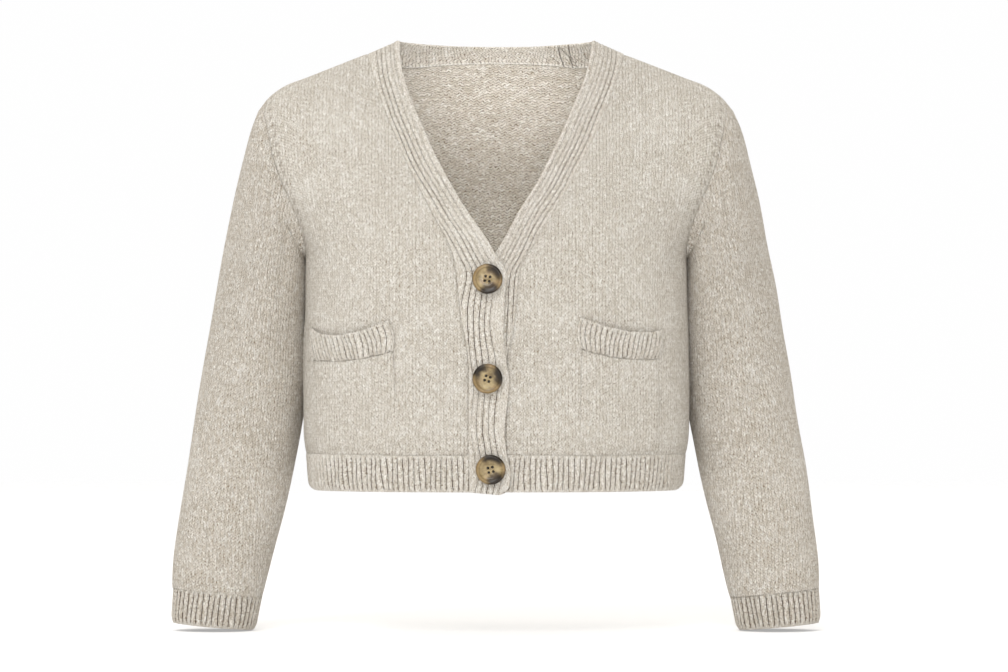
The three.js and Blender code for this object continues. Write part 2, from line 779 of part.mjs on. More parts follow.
for (const side of ['right', 'left']) {
  const own = POCKETS[side];
  const bag = trim(bagGrid(own.bag), { top: 0.2 });
  const rib = trim(ribGrid(own.rib), { bottom: 0.2 });
  const turn = (grid) => (side === 'left' ? grid : mirror(grid)).map((row) => [...row].reverse());
  add(`pocket_${side}`, clothWall(turn(bag), POCKET), 'knit_jersey');
  add(`pocket_rib_${side}`, clothWall(turn(rib), RIB), 'knit_rib');
}

for (const [name, x, z, turn] of BUTTONS) {
  const backHeight = bandFace(TOP_BAND, TOP_LIFT, -x, z) + WINDING + 3 * SEAM_GAP;
  const length = backHeight - bandFace(UNDER_BAND, UNDER_LIFT, x, z) - 2 * SEAM_GAP;
  const place = onBand(x, z, backHeight, turn);
  add(name, buttonShape().applyMatrix4(place), 'horn');
  add(name.replace('button', 'thread'), threadShape(length).applyMatrix4(place), 'thread');
}

export default group;
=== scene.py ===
import math

import bpy
import numpy as np
from mathutils import Matrix, Vector


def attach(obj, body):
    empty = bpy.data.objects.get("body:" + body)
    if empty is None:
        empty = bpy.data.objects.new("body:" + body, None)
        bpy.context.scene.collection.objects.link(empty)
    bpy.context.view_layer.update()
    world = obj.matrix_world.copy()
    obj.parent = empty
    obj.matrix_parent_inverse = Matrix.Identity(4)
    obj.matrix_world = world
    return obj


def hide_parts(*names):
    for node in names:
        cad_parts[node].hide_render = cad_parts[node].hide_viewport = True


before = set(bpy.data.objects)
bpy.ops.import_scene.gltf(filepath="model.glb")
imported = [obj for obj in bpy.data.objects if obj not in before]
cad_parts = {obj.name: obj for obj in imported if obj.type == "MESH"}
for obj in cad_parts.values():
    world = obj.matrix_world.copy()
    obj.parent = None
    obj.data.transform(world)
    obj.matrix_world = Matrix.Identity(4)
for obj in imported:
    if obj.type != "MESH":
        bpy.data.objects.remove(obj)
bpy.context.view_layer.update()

# ---------------------------------------------------------------------------
# The back: one plain-knitted panel from the hem rib to the shoulder seams.
# It is knitted upwards in a beige marled wool blend and scooped for the neck.
# The body's form, the knitting and the way a panel is laid out start here.
MM = 0.001
JERSEY = 2.5                  # thickness of the plain knit
WALE = 3.4                    # width of one stitch column
COURSE = 2.8                  # height of one row of stitches
SHOULDER_X, NECK_X = 228.0, 128.0
SIDE_X = 190.0                # side seam and foot of the armhole
ARMHOLE_TOP, ARMHOLE_BOTTOM = -59.5, -215.0
ARMHOLE_HALF_DEPTH = 48.0
HEM_SEAM_Z, HEM_Z = -411.0, -447.0
BODY_CURVE = 2.3              # roundness of the body's cross-section
SHOULDER_DROP = 200.0         # height over which the cloth rounds away from the shoulder line


def curve(keys, values):
    """A smooth line through a short table, as a function of its key."""
    order = np.argsort(keys)
    keys = np.asarray(keys, float)[order]
    values = np.asarray(values, float)[order]
    slopes = np.gradient(values, keys)

    def at(key):
        key = np.clip(key, keys[0], keys[-1])
        i = np.clip(np.searchsorted(keys, key) - 1, 0, len(keys) - 2)
        span = keys[i + 1] - keys[i]
        t = (key - keys[i]) / span
        a = (1 + 2 * t) * (1 - t) ** 2 * values[i] + t * (1 - t) ** 2 * span * slopes[i]
        b = t * t * (3 - 2 * t) * values[i + 1] + t * t * (t - 1) * span * slopes[i + 1]
        return a + b

    return at


def smooth(a, b, v):
    """0 below a, 1 above b, with a soft step between."""
    t = np.clip((v - a) / (b - a), 0, 1)
    return t * t * (3 - 2 * t)


# columns: height, front depth, back depth, half width below the underarm
BODY = np.array([
    (40, 86, 88, 190), (0, 92, 95, 190), (-60, 100, 105, 190), (-100, 109, 112, 190),
    (-150, 118, 115, 190), (-215, 126, 111, 190), (-250, 127, 108, 190), (-300, 124, 107, 191),
    (-370, 119, 108, 191.5), (-398, 116.5, 107, 190.5), (-411, 113, 104.5, 188.5),
    (-430, 111, 102.5, 187), (-452, 110, 101.5, 186),
])
front_depth = curve(BODY[:, 0], BODY[:, 1])
back_depth = curve(BODY[:, 0], BODY[:, 2])
side_width = curve(BODY[:, 0], BODY[:, 3])

# columns: height, distance of the armhole seam from the centre line
ARMHOLE = np.array([
    (-59.5, 228), (-75, 229), (-90, 226), (-114, 221), (-138, 213), (-156, 205), (-170, 199),
    (-183, 194.5), (-195, 191.5), (-207, 190.2), (-215, 190),
])
armhole_x = curve(ARMHOLE[:, 0], ARMHOLE[:, 1])


def ridge(x):
    """Height of the shoulder line, carried on over the neck opening."""
    off = np.maximum(0, np.abs(x) - 200) / 28
    rest = 2.0 * smooth(96, 126, np.abs(x)) * (1 - smooth(185, 226, np.abs(x)))
    return 43.5 - 0.41 * np.hypot(x, 40) - 8 * off**2 - rest


def round_off(x, z):
    """How far the cloth has come forward at a height below the shoulder line."""
    rest = np.clip((ridge(x) - z) / SHOULDER_DROP, 0, 1)
    return np.sqrt(np.maximum(0, 1 - (1 - rest) ** 2))


def armhole_z(share):
    return ARMHOLE_TOP + (ARMHOLE_BOTTOM - ARMHOLE_TOP) * (1 - np.cos(np.pi * share)) / 2


def width_above_underarm(depth):
    """Half width of the body's form that brings its surface through the armhole seam."""
    share = np.linspace(4 / 48, 1, 45)
    z = armhole_z(share)
    x = armhole_x(z)
    reach = depth(z) * round_off(x, z)
    part = np.clip(ARMHOLE_HALF_DEPTH * np.sin(np.pi * share) / reach, 0, 0.95)
    return curve(z, x / (1 - part**BODY_CURVE) ** (1 / BODY_CURVE))


front_width = width_above_underarm(front_depth)
back_width = width_above_underarm(back_depth)


def body_y(x, z, front):
    wide = np.where(z < ARMHOLE_BOTTOM, side_width(z), (front_width if front else back_width)(z))
    r = np.clip(np.abs(x) / wide, 0, 1)
    flat = np.maximum(0, 1 - r**BODY_CURVE) ** (1 / BODY_CURVE)
    deep = (front_depth if front else back_depth)(z) * round_off(x, z) * flat
    return -deep if front else deep


def body_point(x, z, front, out=0.0):
    """A point on the middle of the body cloth, or out from it along its normal."""
    x, z = np.broadcast_arrays(np.asarray(x, float), np.asarray(z, float))
    p = np.stack([x, body_y(x, z, front), z], -1)
    if np.all(np.asarray(out) == 0):
        return p
    step = 1.5
    over = body_y(x + step, z, front) - body_y(x - step, z, front)
    rise = body_y(x, z + step, front) - body_y(x, z - step, front)
    du = np.stack([np.full_like(x, 2 * step), over, 0 * x], -1)
    dv = np.stack([0 * x, rise, np.full_like(x, 2 * step)], -1)
    n = np.cross(du, dv)
    n /= np.linalg.norm(n, axis=-1, keepdims=True)
    n *= np.where((n[..., 1:2] > 0) == front, -1.0, 1.0)
    return p + n * np.asarray(out)[..., None]


def grid_normals(grid, around):
    if around:
        across = np.roll(grid, -1, 1) - np.roll(grid, 1, 1)
    else:
        across = np.gradient(grid, axis=1)
    along = np.gradient(grid, axis=0)
    n = np.cross(across, along)
    length = np.linalg.norm(n, axis=-1, keepdims=True)
    return n / np.maximum(length, 1e-9)


def run(grid, axis):
    """Distance travelled over the grid along one axis."""
    step = np.linalg.norm(np.diff(grid, axis=axis), axis=-1)
    start = np.zeros_like(step[:1] if axis == 0 else step[:, :1])
    return np.concatenate([start, np.cumsum(step, axis=axis)], axis=axis)


def crease(a, b, points, width, depth):
    """A soft trough of uneven depth from a to b, in the plane that the points are given in."""
    a, b = np.array(a, float), np.array(b, float)
    way = b - a
    t = np.clip(((points - a) @ way) / (way @ way), -0.3, 1.3)
    off = np.linalg.norm(points - (a + np.clip(t, 0, 1)[..., None] * way), axis=-1)
    strength = smooth(-0.25, 0.35, t) * (1 - smooth(0.55, 1.25, t)) * (0.85 + 0.15 * np.sin(9 * t + a[0]))
    return -depth * strength * np.exp(-((off / width) ** 2))


def knit_mesh(
    name, grid, thick, u, v, materials, outward=1, around=False,
    rise=None, inner_rise=None, marks=None, inner_marks=None,
):
    """Two faces of cloth and the rim between them, from points on the middle of the cloth in millimetres."""
    rows, cols = grid.shape[:2]
    n = outward * grid_normals(grid, around)
    half = np.broadcast_to(np.asarray(thick, float) / 2, (rows, cols))
    up = 0 if rise is None else rise
    down = 0 if inner_rise is None else inner_rise
    outer = grid + n * (half + up)[..., None]
    inner = grid - n * (half + down)[..., None]
    co = np.concatenate([outer.reshape(-1, 3), inner.reshape(-1, 3)]) * MM
    layer = rows * cols
    last = cols if around else cols - 1
    i, j = np.meshgrid(np.arange(rows - 1), np.arange(last), indexing="ij")
    k = (j + 1) % cols
    a, b, c, d = i * cols + j, i * cols + k, (i + 1) * cols + k, (i + 1) * cols + j
    quads = np.stack([a, b, c, d], -1).reshape(-1, 4)
    round_quad = ((0, 0), (0, 1), (1, 1), (1, 0))
    corner = np.stack([np.stack([i + di, j + dj], -1) for di, dj in round_quad], -2).reshape(-1, 4, 2)
    faces = [quads, quads[:, ::-1] + layer]
    corners = [corner, corner[:, ::-1]]
    kinds = [np.zeros(len(quads), int), np.ones(len(quads), int)]

    def rim(line, where):
        edge = np.stack([line[1:], line[:-1], line[:-1] + layer, line[1:] + layer], -1)
        faces.append(edge)
        spot = np.stack([where[1:], where[:-1], where[:-1], where[1:]], -2)
        corners.append(spot)
        kinds.append(np.zeros(len(edge), int))

    over_cols = np.arange(last + 1)
    top, bottom = over_cols % cols, (rows - 1) * cols + over_cols % cols
    rim(top, np.stack([0 * over_cols, over_cols], -1))
    rim(bottom[::-1], np.stack([0 * over_cols + rows - 1, over_cols], -1)[::-1])
    if not around:
        down_rows = np.arange(rows)
        rim((down_rows * cols)[::-1], np.stack([down_rows, 0 * down_rows], -1)[::-1])
        rim(down_rows * cols + cols - 1, np.stack([down_rows, 0 * down_rows + cols - 1], -1))
    faces = np.concatenate(faces)
    corners = np.concatenate(corners)
    if outward < 0:
        faces, corners = faces[:, ::-1], corners[:, ::-1]
    mesh = bpy.data.meshes.new(name)
    mesh.vertices.add(len(co))
    mesh.vertices.foreach_set("co", co.ravel())
    mesh.loops.add(faces.size)
    mesh.loops.foreach_set("vertex_index", faces.ravel())
    mesh.polygons.add(len(faces))
    mesh.polygons.foreach_set("loop_start", np.arange(0, faces.size, 4))
    mesh.polygons.foreach_set("material_index", np.concatenate(kinds))
    mesh.update(calc_edges=True)
    uv = mesh.uv_layers.new(name="knit")
    if around:
        u = np.concatenate([u, u[:, -1:] + (u[:, -1:] - u[:, -2:-1])], 1) if u.shape[1] == cols else u
        v = np.concatenate([v, v[:, :1]], 1) if v.shape[1] == cols else v
    place = np.stack([u, v], -1)[corners[..., 0], corners[..., 1]]
    uv.data.foreach_set("uv", place.reshape(-1))
    if marks is not None:
        layer_uv = mesh.uv_layers.new(name="seam")
        if around:
            marks = np.concatenate([marks, marks[:, :1]], 1) if marks.shape[1] == cols else marks
        spots = marks[corners[..., 0], corners[..., 1]]
        if inner_marks is not None:
            inside = np.concatenate(kinds) == 1
            spots[inside] = inner_marks[corners[inside][..., 0], corners[inside][..., 1]]
        layer_uv.data.foreach_set("uv", spots.reshape(-1))
    mesh.polygons.foreach_set("use_smooth", np.ones(len(faces), bool))
    mesh.validate()
    piece = bpy.data.objects.new(name, mesh)
    bpy.context.collection.objects.link(piece)
    for m in materials:
        mesh.materials.append(m)
    return piece


class Val:
    """A number that varies over a surface, for sums written as plain expressions."""

    def __init__(self, net, socket):
        self.net, self.socket = net, socket

    def _math(self, op, other=None, swap=False):
        pair = (self, other) if not swap else (other, self)
        inputs = [p for p in pair if p is not None]
        return self.net.node("ShaderNodeMath", {"operation": op}, inputs).out()

    def __add__(self, o): return self._math("ADD", o)
    __radd__ = __add__
    def __sub__(self, o): return self._math("SUBTRACT", o)
    def __rsub__(self, o): return self._math("SUBTRACT", o, True)
    def __mul__(self, o): return self._math("MULTIPLY", o)
    __rmul__ = __mul__
    def __truediv__(self, o): return self._math("DIVIDE", o)
    def __rtruediv__(self, o): return self._math("DIVIDE", o, True)
    def __pow__(self, o): return self._math("POWER", o)
    def __abs__(self): return self._math("ABSOLUTE")
    def fract(self): return self._math("FRACT")
    def floor(self): return self._math("FLOOR")
    def cos(self): return self._math("COSINE")
    def most(self, o): return self._math("MAXIMUM", o)
    def ramp(self, low, high, to_low=0.0, to_high=1.0):
        settings = {"interpolation_type": "SMOOTHSTEP"}
        return self.net.node("ShaderNodeMapRange", settings, [self, low, high, to_low, to_high]).out()


class Made:
    """A node that has been added, whose outputs are read by number or name."""

    def __init__(self, net, node):
        self.net, self.node = net, node

    def out(self, key=0):
        return Val(self.net, self.node.outputs[key])


class Net:
    """The nodes of one material or world, and the shader that they feed."""

    def __init__(self, owner, shader="Principled BSDF"):
        owner.use_nodes = True
        self.material = owner
        self.tree = owner.node_tree
        self.shader = self.tree.nodes[shader]

    def node(self, kind, settings=None, inputs=()):
        made = self.tree.nodes.new(kind)
        for key, value in (settings or {}).items():
            setattr(made, key, value)
        pairs = inputs.items() if isinstance(inputs, dict) else enumerate(inputs)
        for key, value in pairs:
            if value is None:
                continue
            if isinstance(value, Val):
                self.tree.links.new(value.socket, made.inputs[key])
            else:
                made.inputs[key].default_value = value
        return Made(self, made)

    def feed(self, key, value):
        if isinstance(value, Val):
            self.tree.links.new(value.socket, self.shader.inputs[key])
        else:
            self.shader.inputs[key].default_value = value

    def uv(self, name="knit"):
        made = self.node("ShaderNodeUVMap", {"uv_map": name})
        split = self.node("ShaderNodeSeparateXYZ", {}, [made.out()])
        return split.out(0), split.out(1)

    def noise(self, x, y, z=0.0, scale=1.0, detail=2.0, rough=0.5):
        place = self.node("ShaderNodeCombineXYZ", {}, [x, y, z]).out()
        settings = {"Vector": place, "Scale": scale, "Detail": detail, "Roughness": rough}
        return self.node("ShaderNodeTexNoise", {}, settings).out(0)

    def speck(self, x, y):
        place = self.node("ShaderNodeCombineXYZ", {}, [x, y, 0.0]).out()
        return self.node("ShaderNodeTexWhiteNoise", {"noise_dimensions": "2D"}, {"Vector": place}).out(0)

    def mix(self, share, a, b):
        made = self.node("ShaderNodeMix", {"data_type": "RGBA", "clamp_factor": True})
        for key, value in ((0, share), (6, a), (7, b)):
            if isinstance(value, Val):
                self.tree.links.new(value.socket, made.node.inputs[key])
            else:
                made.node.inputs[key].default_value = value
        return Val(self, made.node.outputs[2])


def new_material(name):
    return Net(bpy.data.materials.new(name))


def shade(rgb):
    """A shader colour from screen values of 0 to 255."""
    shares = [value / 255 for value in rgb]
    return (*[c / 12.92 if c <= 0.04045 else ((c + 0.055) / 1.055) ** 2.4 for c in shares], 1.0)


# the yarn's palest fibres, its two marled strands, the shade between stitches and that between ribs
CREAM, OAT, SAND, DEEP = (250, 248, 242), (228, 223, 214), (205, 197, 183), (108, 86, 56)
GROOVE = (70, 50, 24)


def knit(name, stitch, contrast=1.0, marl=1.0, tone_shift=0.0, warm=0.0, ribs=False, joined=False):
    """
    Marled yarn in plain, reverse or ribbed stitches. The knit map counts stitch columns and rows.
    The seam map holds millimetres from the side and top seams on plain knit, and on ribs how
    strongly the painted shade in their grooves is drawn and the millimetres along them. Inside the
    bands it holds the painted highlight of the linked ridge less the painted shadow at its seam.
    Contrast sets the painted shade between stitches as well as their relief; tone_shift and warm
    lighten and warm the yarn, painting the light and shade that fall on each piece.
    """
    # warm yellows the yarn and tone_shift lightens it: painted warmth and brightness of the light and shade
    # on each piece
    sand, oat = [shade((r, g - 2 * warm, b - 4 * warm)) for r, g, b in (SAND, OAT)]
    net = new_material(name)
    u, v = net.uv()
    mark, along = net.uv("seam")
    # columns drift sideways and rows waver, as hand-steamed knitting does
    columns, rows = (0.45, 0.8) if joined else (0.6, 0.95) if stitch == "reverse" else (1.0, 1.0)
    wobble = net.noise(u, v, 3.0, scale=0.12, detail=2.0)
    drift = net.noise(u, v, 9.0, scale=0.55, detail=1.0)
    jog = net.noise(u, v, 21.0, scale=1.3, detail=1.0)
    pull = net.noise(u, v, 33.0, scale=0.9, detail=1.0)
    across = u * columns + (drift - 0.5) * 0.8 + (jog - 0.5) * 0.5
    down = v * rows + (wobble - 0.5) * 1.6 + (drift - 0.5) * 0.9 + (pull - 0.5) * 0.9
    side = abs(across.fract() - 0.5) * 2.0
    # the height of one stitch: a bump of purl, or the two slanting legs of a knit V
    if stitch == "reverse":
        wave = (across * (2 * math.pi)).cos() * 0.3
        phase = down + wave
        loop = abs(phase.fract() - 0.5) * 2.0
        height = (1.0 - loop * loop) * (0.85 + side * 0.15)
    else:
        phase = down - side * 0.85
        loop = abs(phase.fract() - 0.5) * 2.0
        leg = (1.0 - abs(side - 0.4) * 1.45).most(0.0)
        height = (1.0 - loop * loop * 0.85) * leg**0.7
    # two strands of unlike colour twist together, with cream slubs, stray fibres and curled hairs
    row = phase.floor()
    column = (across * 2.0).floor()
    tone = net.speck(column, row)
    fleck = net.noise(across * 0.5, row * 3.7 + side * 0.25, 0.0, scale=1.0, detail=2.0, rough=0.65)
    cloud = net.noise(u * 0.055, v * 0.07, 5.0, scale=1.0, detail=3.0, rough=0.55)
    fibre = net.noise(across * 2.3, phase * 3.0, 1.0, scale=2.2, detail=3.0, rough=0.7)
    light = (fleck.ramp(0.36, 0.7) * 0.6 + tone * 0.4 - 0.5) * marl + (0.5 + tone_shift) + (cloud - 0.5) * 0.4
    yarn = net.mix(light, sand, oat)
    white = (fleck * 0.6 + tone * 0.5 + (cloud - 0.5) * 0.2).ramp(0.6, 0.95)
    yarn = net.mix(white * 0.6 * marl, yarn, shade(CREAM))
    yarn = net.mix((fibre - 0.5).most(0.0) * 0.9, yarn, shade(CREAM))
    loft = net.noise(u * 0.85, v * 0.6, 41.0, scale=1.0, detail=1.5, rough=0.6)
    curl = (1.0 - abs(loft - 0.5) * 20.0).most(0.0) * fleck.ramp(0.3, 0.55)
    yarn = net.mix(curl * 0.6, yarn, shade(CREAM))
    # painted shade in the gaps between stitches, deeper where the knitting is loose
    loose = net.noise(across * 1.2, down * 1.1, 27.0, scale=1.0, detail=2.0, rough=0.6)
    dark = (1.0 - height.ramp(0.05, 0.7)) * contrast * (0.2 + loose.ramp(0.32, 0.66) * 0.6)
    dark = dark * (1.0 - curl * 0.6)
    dark = dark * (1.0 - cloud.ramp(0.45, 0.75) * 0.3)
    colour = net.mix(dark, yarn, shade(DEEP))
    if ribs:
        broken = net.noise(u * 0.4, v * 0.9, 13.0, scale=1.0, detail=2.0).ramp(0.36, 0.62)
        place = abs(((u + 0.5 + (pull - 0.5) * 0.3) * 0.5).fract() - 0.5) * 2.0
        # inside the bands: a painted highlight on the linked ridge at the back's neck seam, painted shadow
        # beside it at the seam, and two dark lines at the bands' join
        if joined:
            first = 1.1 - abs(along + (jog - 0.5) * 1.5 - 1.5)
            second = 1.1 - abs(along + (pull - 0.5) * 1.5 - 11.5)
            groove = first.most(second).ramp(0.0, 1.1) * 0.75
            ridge_highlight = mark.ramp(0.15, 0.8)
            under = (mark * -1.0).ramp(0.15, 0.8)
            colour = net.mix(ridge_highlight * 0.5, colour, shade(CREAM))
            colour = net.mix(under * (0.3 + broken * 0.4), colour, shade(DEEP))
        else:
            # painted shade between the stitches down the sides of each raised column
            rung = (1.0 - abs((down * 1.3).fract() - 0.5) * 3.6).most(0.0)
            rung = rung * loose.ramp(0.45, 0.6) * place.ramp(0.15, 0.5)
            colour = net.mix(rung * mark * 0.75, colour, shade(DEEP))
            # painted shade in the sunk columns between the ribs; the same mask also lowers the bump
            groove = place.ramp(0.83, 0.94) * mark * (0.65 + broken * 0.5)
        colour = net.mix(groove, colour, shade(GROOVE))
        height = height - groove
    else:
        # fashioning marks: a row of slanted stitches beside each shaped edge
        spot = abs((along * 0.1).fract() - 0.5).ramp(0.28, 0.12)
        fashion = spot * mark.ramp(5.0, 6.5) * mark.ramp(11.0, 8.5)
        colour = net.mix(fashion * 0.34, colour, shade(DEEP))
        height = height + fashion * 0.6
    net.feed("Base Color", colour)
    net.feed("Roughness", 0.92)
    net.shader.inputs["Sheen Weight"].default_value = 0.15
    net.shader.inputs["Sheen Roughness"].default_value = 0.5
    net.shader.inputs["Sheen Tint"].default_value = (1.0, 0.96, 0.89, 1.0)
    net.shader.inputs["Specular IOR Level"].default_value = 0.15
    relief = {"Strength": 0.8 * contrast, "Distance": 0.0012, "Height": height + fibre * 0.35}
    net.feed("Normal", net.node("ShaderNodeBump", {}, relief).out())
    return net.material


# The body's plain face and its reverse for the inside; the reverse's yarn is warmed to paint the warmth of
# the shade inside the body.
jersey = knit("jersey_face", "plain", 1.22, 0.88, 0.11)
jersey_back = knit("jersey_reverse", "reverse", 1.3, 1.0, 0.1, warm=1.4)


def panel_rows(upper, lower):
    """Rows of a body panel: the share down the armhole, then heights down the side seam."""
    share = np.linspace(0, 1, upper)
    below = np.linspace(0, 1, lower + 1)[1:]
    return share, below


def row_z(share, below, top):
    drop = (1 - np.cos(np.pi * share)) / 2
    above = top[None, :] + (ARMHOLE_BOTTOM - top[None, :]) * drop[:, None]
    under = ARMHOLE_BOTTOM + (HEM_SEAM_Z - ARMHOLE_BOTTOM) * below
    return np.concatenate([above, np.repeat(under[:, None], len(top), 1)])


def outer_edge(share, below, front):
    z = armhole_z(share)
    x = armhole_x(z)
    edge = body_point(x, z, front)
    edge[0] = (SHOULDER_X, 0, ARMHOLE_TOP)
    edge[-1] = (SIDE_X, 0, ARMHOLE_BOTTOM)
    under = ARMHOLE_BOTTOM + (HEM_SEAM_Z - ARMHOLE_BOTTOM) * below
    side = np.stack([side_width(under), 0 * under, under], -1)
    return np.concatenate([edge, side])


def tuck(distance, reach=4.0, depth=1.0):
    """How far cloth dips where it is drawn into a seam."""
    return -depth * (1 - smooth(0, reach, distance))


def linked_end(along):
    """Plain cloth that thins where its last row is linked to a rib."""
    return JERSEY - 0.7 * (1 - smooth(0.0, 4.0, along[-1:] - along))


def hand(grid, seed, size=0.9):
    """The slow unevenness of hand-steamed knitting."""
    rng = np.random.default_rng(seed)
    total = np.zeros(grid.shape[:2])
    for _ in range(7):
        way = rng.normal(size=3) / rng.uniform(22, 60)
        total += np.sin(grid @ way + rng.uniform(0, 6.3)) * rng.uniform(0.15, 0.4)
    return size * total / 1.2


# columns: seam x, seam z, edge x, edge y, edge z, from the shoulder to the centre back
BACK_NECK = np.array([
    (128, -13.5, 96, 0, 0.2), (122, -17, 92.5, 12, 0), (108, -21.5, 81, 24, -0.5),
    (84, -23, 62, 31.5, -1.6), (46, -19.5, 34, 36.2, -3), (0, -18, 0, 37.5, -3.5),
])
whole_neck = np.concatenate([BACK_NECK, (BACK_NECK * [-1, 1, -1, 1, 1])[-2::-1]])
neck_line = [curve(np.arange(11), whole_neck[:, k]) for k in range(5)]


def neck_seam(t):
    """The back neck seam, t running 0 at the left shoulder to 10 at the right."""
    p = body_point(neck_line[0](t), neck_line[1](t), False)
    ends = (np.asarray(t) < 0.001) | (np.asarray(t) > 9.999)
    p[..., 1] = np.where(ends, 0, p[..., 1])
    return p


# from x and height, to x and height, width and depth of each soft trough
BACK_CREASES = (
    ((-178, -190), (-120, -300), 13, 2.6), ((176, -186), (128, -262), 11, 2.2),
    ((-60, -380), (30, -330), 16, 1.8), ((95, -395), (150, -300), 12, 2.0),
    ((-165, -395), (-140, -330), 10, 1.6), ((-40, -60), (45, -66), 14, 1.6),
)


def fan(share, below):
    """How far the stitch columns follow the armhole, growing from the shoulder down."""
    return smooth(0.17, 1.0, np.concatenate([share, np.ones(len(below))]))[:, None]


def back_panel():
    share, below = panel_rows(52, 56)
    neck = neck_seam(np.linspace(5, 0, 34))
    xs = np.linspace(NECK_X, SHOULDER_X, 30)[1:]
    top = np.concatenate([neck, np.stack([xs, 0 * xs, ridge(xs)], -1)])
    top[-1] = (SHOULDER_X, 0, ARMHOLE_TOP)
    edge = outer_edge(share, below, False)
    z = row_z(share, below, top[:, 2])
    k = np.linspace(0, 1, len(top))
    even = (top[:, 0] / SHOULDER_X)[None] * edge[:, :1]
    angled = np.sin(k * np.pi / 2)[None] * edge[:, :1]
    half = body_point(even + (angled - even) * fan(share, below), z, False)
    half[0], half[:, -1] = top, edge
    left = half[:, 1:][:, ::-1] * [-1, 1, 1]
    grid = np.concatenate([left, half], 1)
    middle = len(top) - 1
    along, across = run(grid, 0), run(grid, 1)
    u = (across - across[:, middle : middle + 1]) / WALE
    v = (along[-1:] - along) / COURSE
    from_side = np.minimum(across, across[:, -1:] - across)
    lift = tuck(from_side) + tuck(along) + tuck(along[-1:] - along, 3.0, 0.15) + hand(grid, 3)
    for a, b, wide, deep in BACK_CREASES:
        lift += crease(a, b, grid[..., [0, 2]], wide, deep)
    return knit_mesh(
        "back_panel", grid, linked_end(along), u, v, (jersey, jersey_back),
        rise=lift, inner_rise=-lift, marks=np.stack([from_side, along], -1),
    )


back = back_panel()
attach(back, "root")
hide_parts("back")

# ---------------------------------------------------------------------------
# The two fronts: plain-knitted like the back, each with a sloping V edge.
# They are sewn to the back at the shoulders and sides, and to the rib bands
# along the V and the opening.

# columns: seam z, seam x, edge x, edge z; x counts towards the band's own side
TOP_BAND = np.array([
    (-13.5, 128, 96, 0.2), (-26, 124.5, 95.5, -12), (-44, 119, 92.5, -31), (-69, 110, 84.5, -58),
    (-96, 98.5, 72, -88), (-123.5, 87, 59, -117), (-151, 73.5, 42.5, -148), (-178, 59.5, 25, -176),
    (-202, 46.5, 8, -201), (-217, 41, -2, -218), (-228, 39, -9, -229), (-255, 36, -9, -255),
    (-280, 33, -7.5, -280), (-298, 29, -8, -300), (-318, 26.5, -10.5, -320), (-340, 26, -13, -340),
    (-362, 26, -11, -362), (-388, 26, -8.5, -388), (-411, 26, -11, -411), (-430, 26, -14.5, -430),
    (-447, 26, -11, -450),
])
UNDER_BAND = np.array([
    (-13.5, 128, 96, 0.2), (-28, 123, 93.5, -16), (-46, 117, 88, -38), (-70, 108.5, 78, -63),
    (-94, 98.5, 67.5, -88), (-120, 86.5, 55, -114), (-145, 73.5, 41.5, -142), (-172, 57, 23, -171),
    (-195, 43, 8, -199), (-217, 29.5, -5, -219), (-228, 24, -13, -232), (-250, 21, -20, -252),
    (-285, 17.5, -22.5, -285), (-310, 12, -23, -310), (-340, 8, -23, -340), (-411, 7, -23, -411),
    (-447, 7, -23, -447),
])
FRONT_CREASES = {
    1: (
        ((176, -178), (120, -214), 12, 2.4), ((186, -205), (150, -262), 10, 2.0),
        ((30, -258), (78, -246), 9, 1.6), ((24, -352), (64, -362), 9, 1.4),
        ((150, -345), (178, -380), 10, 1.5), ((196, -110), (160, -128), 12, 1.5),
    ),
    -1: (
        ((172, -176), (112, -222), 12, 2.4), ((184, -208), (146, -268), 11, 2.1),
        ((50, -250), (96, -236), 9, 1.7), ((40, -345), (84, -352), 10, 1.5),
        ((60, -392), (84, -330), 12, 1.3), ((200, -116), (164, -136), 12, 1.5),
    ),
}


def front_panel(side, band, seed):
    seam_x = curve(band[:, 0], band[:, 1])
    share, below = panel_rows(60, 62)
    edge = outer_edge(share, below, True)
    f = np.linspace(0, 1, 58)
    shoulder = NECK_X + (SHOULDER_X - NECK_X) * f
    z = row_z(share, below, ridge(shoulder))
    spread = f[None] + (np.sin(f * np.pi / 2) - f)[None] * fan(share, below)
    z[:, -1] = edge[:, 2]
    start = seam_x(z[:, 0])[:, None]
    x = start + (edge[:, :1] - start) * spread
    grid = body_point(x, z, True)
    grid[0] = np.stack([x[0], 0 * x[0], ridge(x[0])], -1)
    grid[:, -1] = edge
    along, across = run(grid, 0), run(grid, 1)
    u = (across + start) / WALE
    v = (along[-1:] - along) / COURSE
    to_side = across[:, -1:] - across
    lift = tuck(across, 3.0, 0.6) + tuck(to_side, 3.0, 0.3) + tuck(along, 3.0, 0.5)
    lift += tuck(along[-1:] - along, 3.0, 0.15)
    lift += hand(grid, seed)
    for a, b, wide, deep in FRONT_CREASES[side]:
        lift += crease(a, b, grid[..., [0, 2]], wide, deep)
    mark = np.stack([to_side, along], -1)
    grid = grid * [side, 1, 1]
    name = "front_left_panel" if side > 0 else "front_right_panel"
    return knit_mesh(
        name, grid, linked_end(along), u, v, (jersey, jersey_back), outward=-side,
        rise=lift, inner_rise=-lift, marks=mark,
    )


for side, band, node in ((1, UNDER_BAND, "front_left"), (-1, TOP_BAND, "front_right")):
    piece = front_panel(side, band, 11 + side)
    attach(piece, "root")
    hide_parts(node)

# ---------------------------------------------------------------------------
# The sleeves: set in at the armholes, knitted from the cuff up and joined
# along the inside of the arm. They hang from the shoulder beside the body.

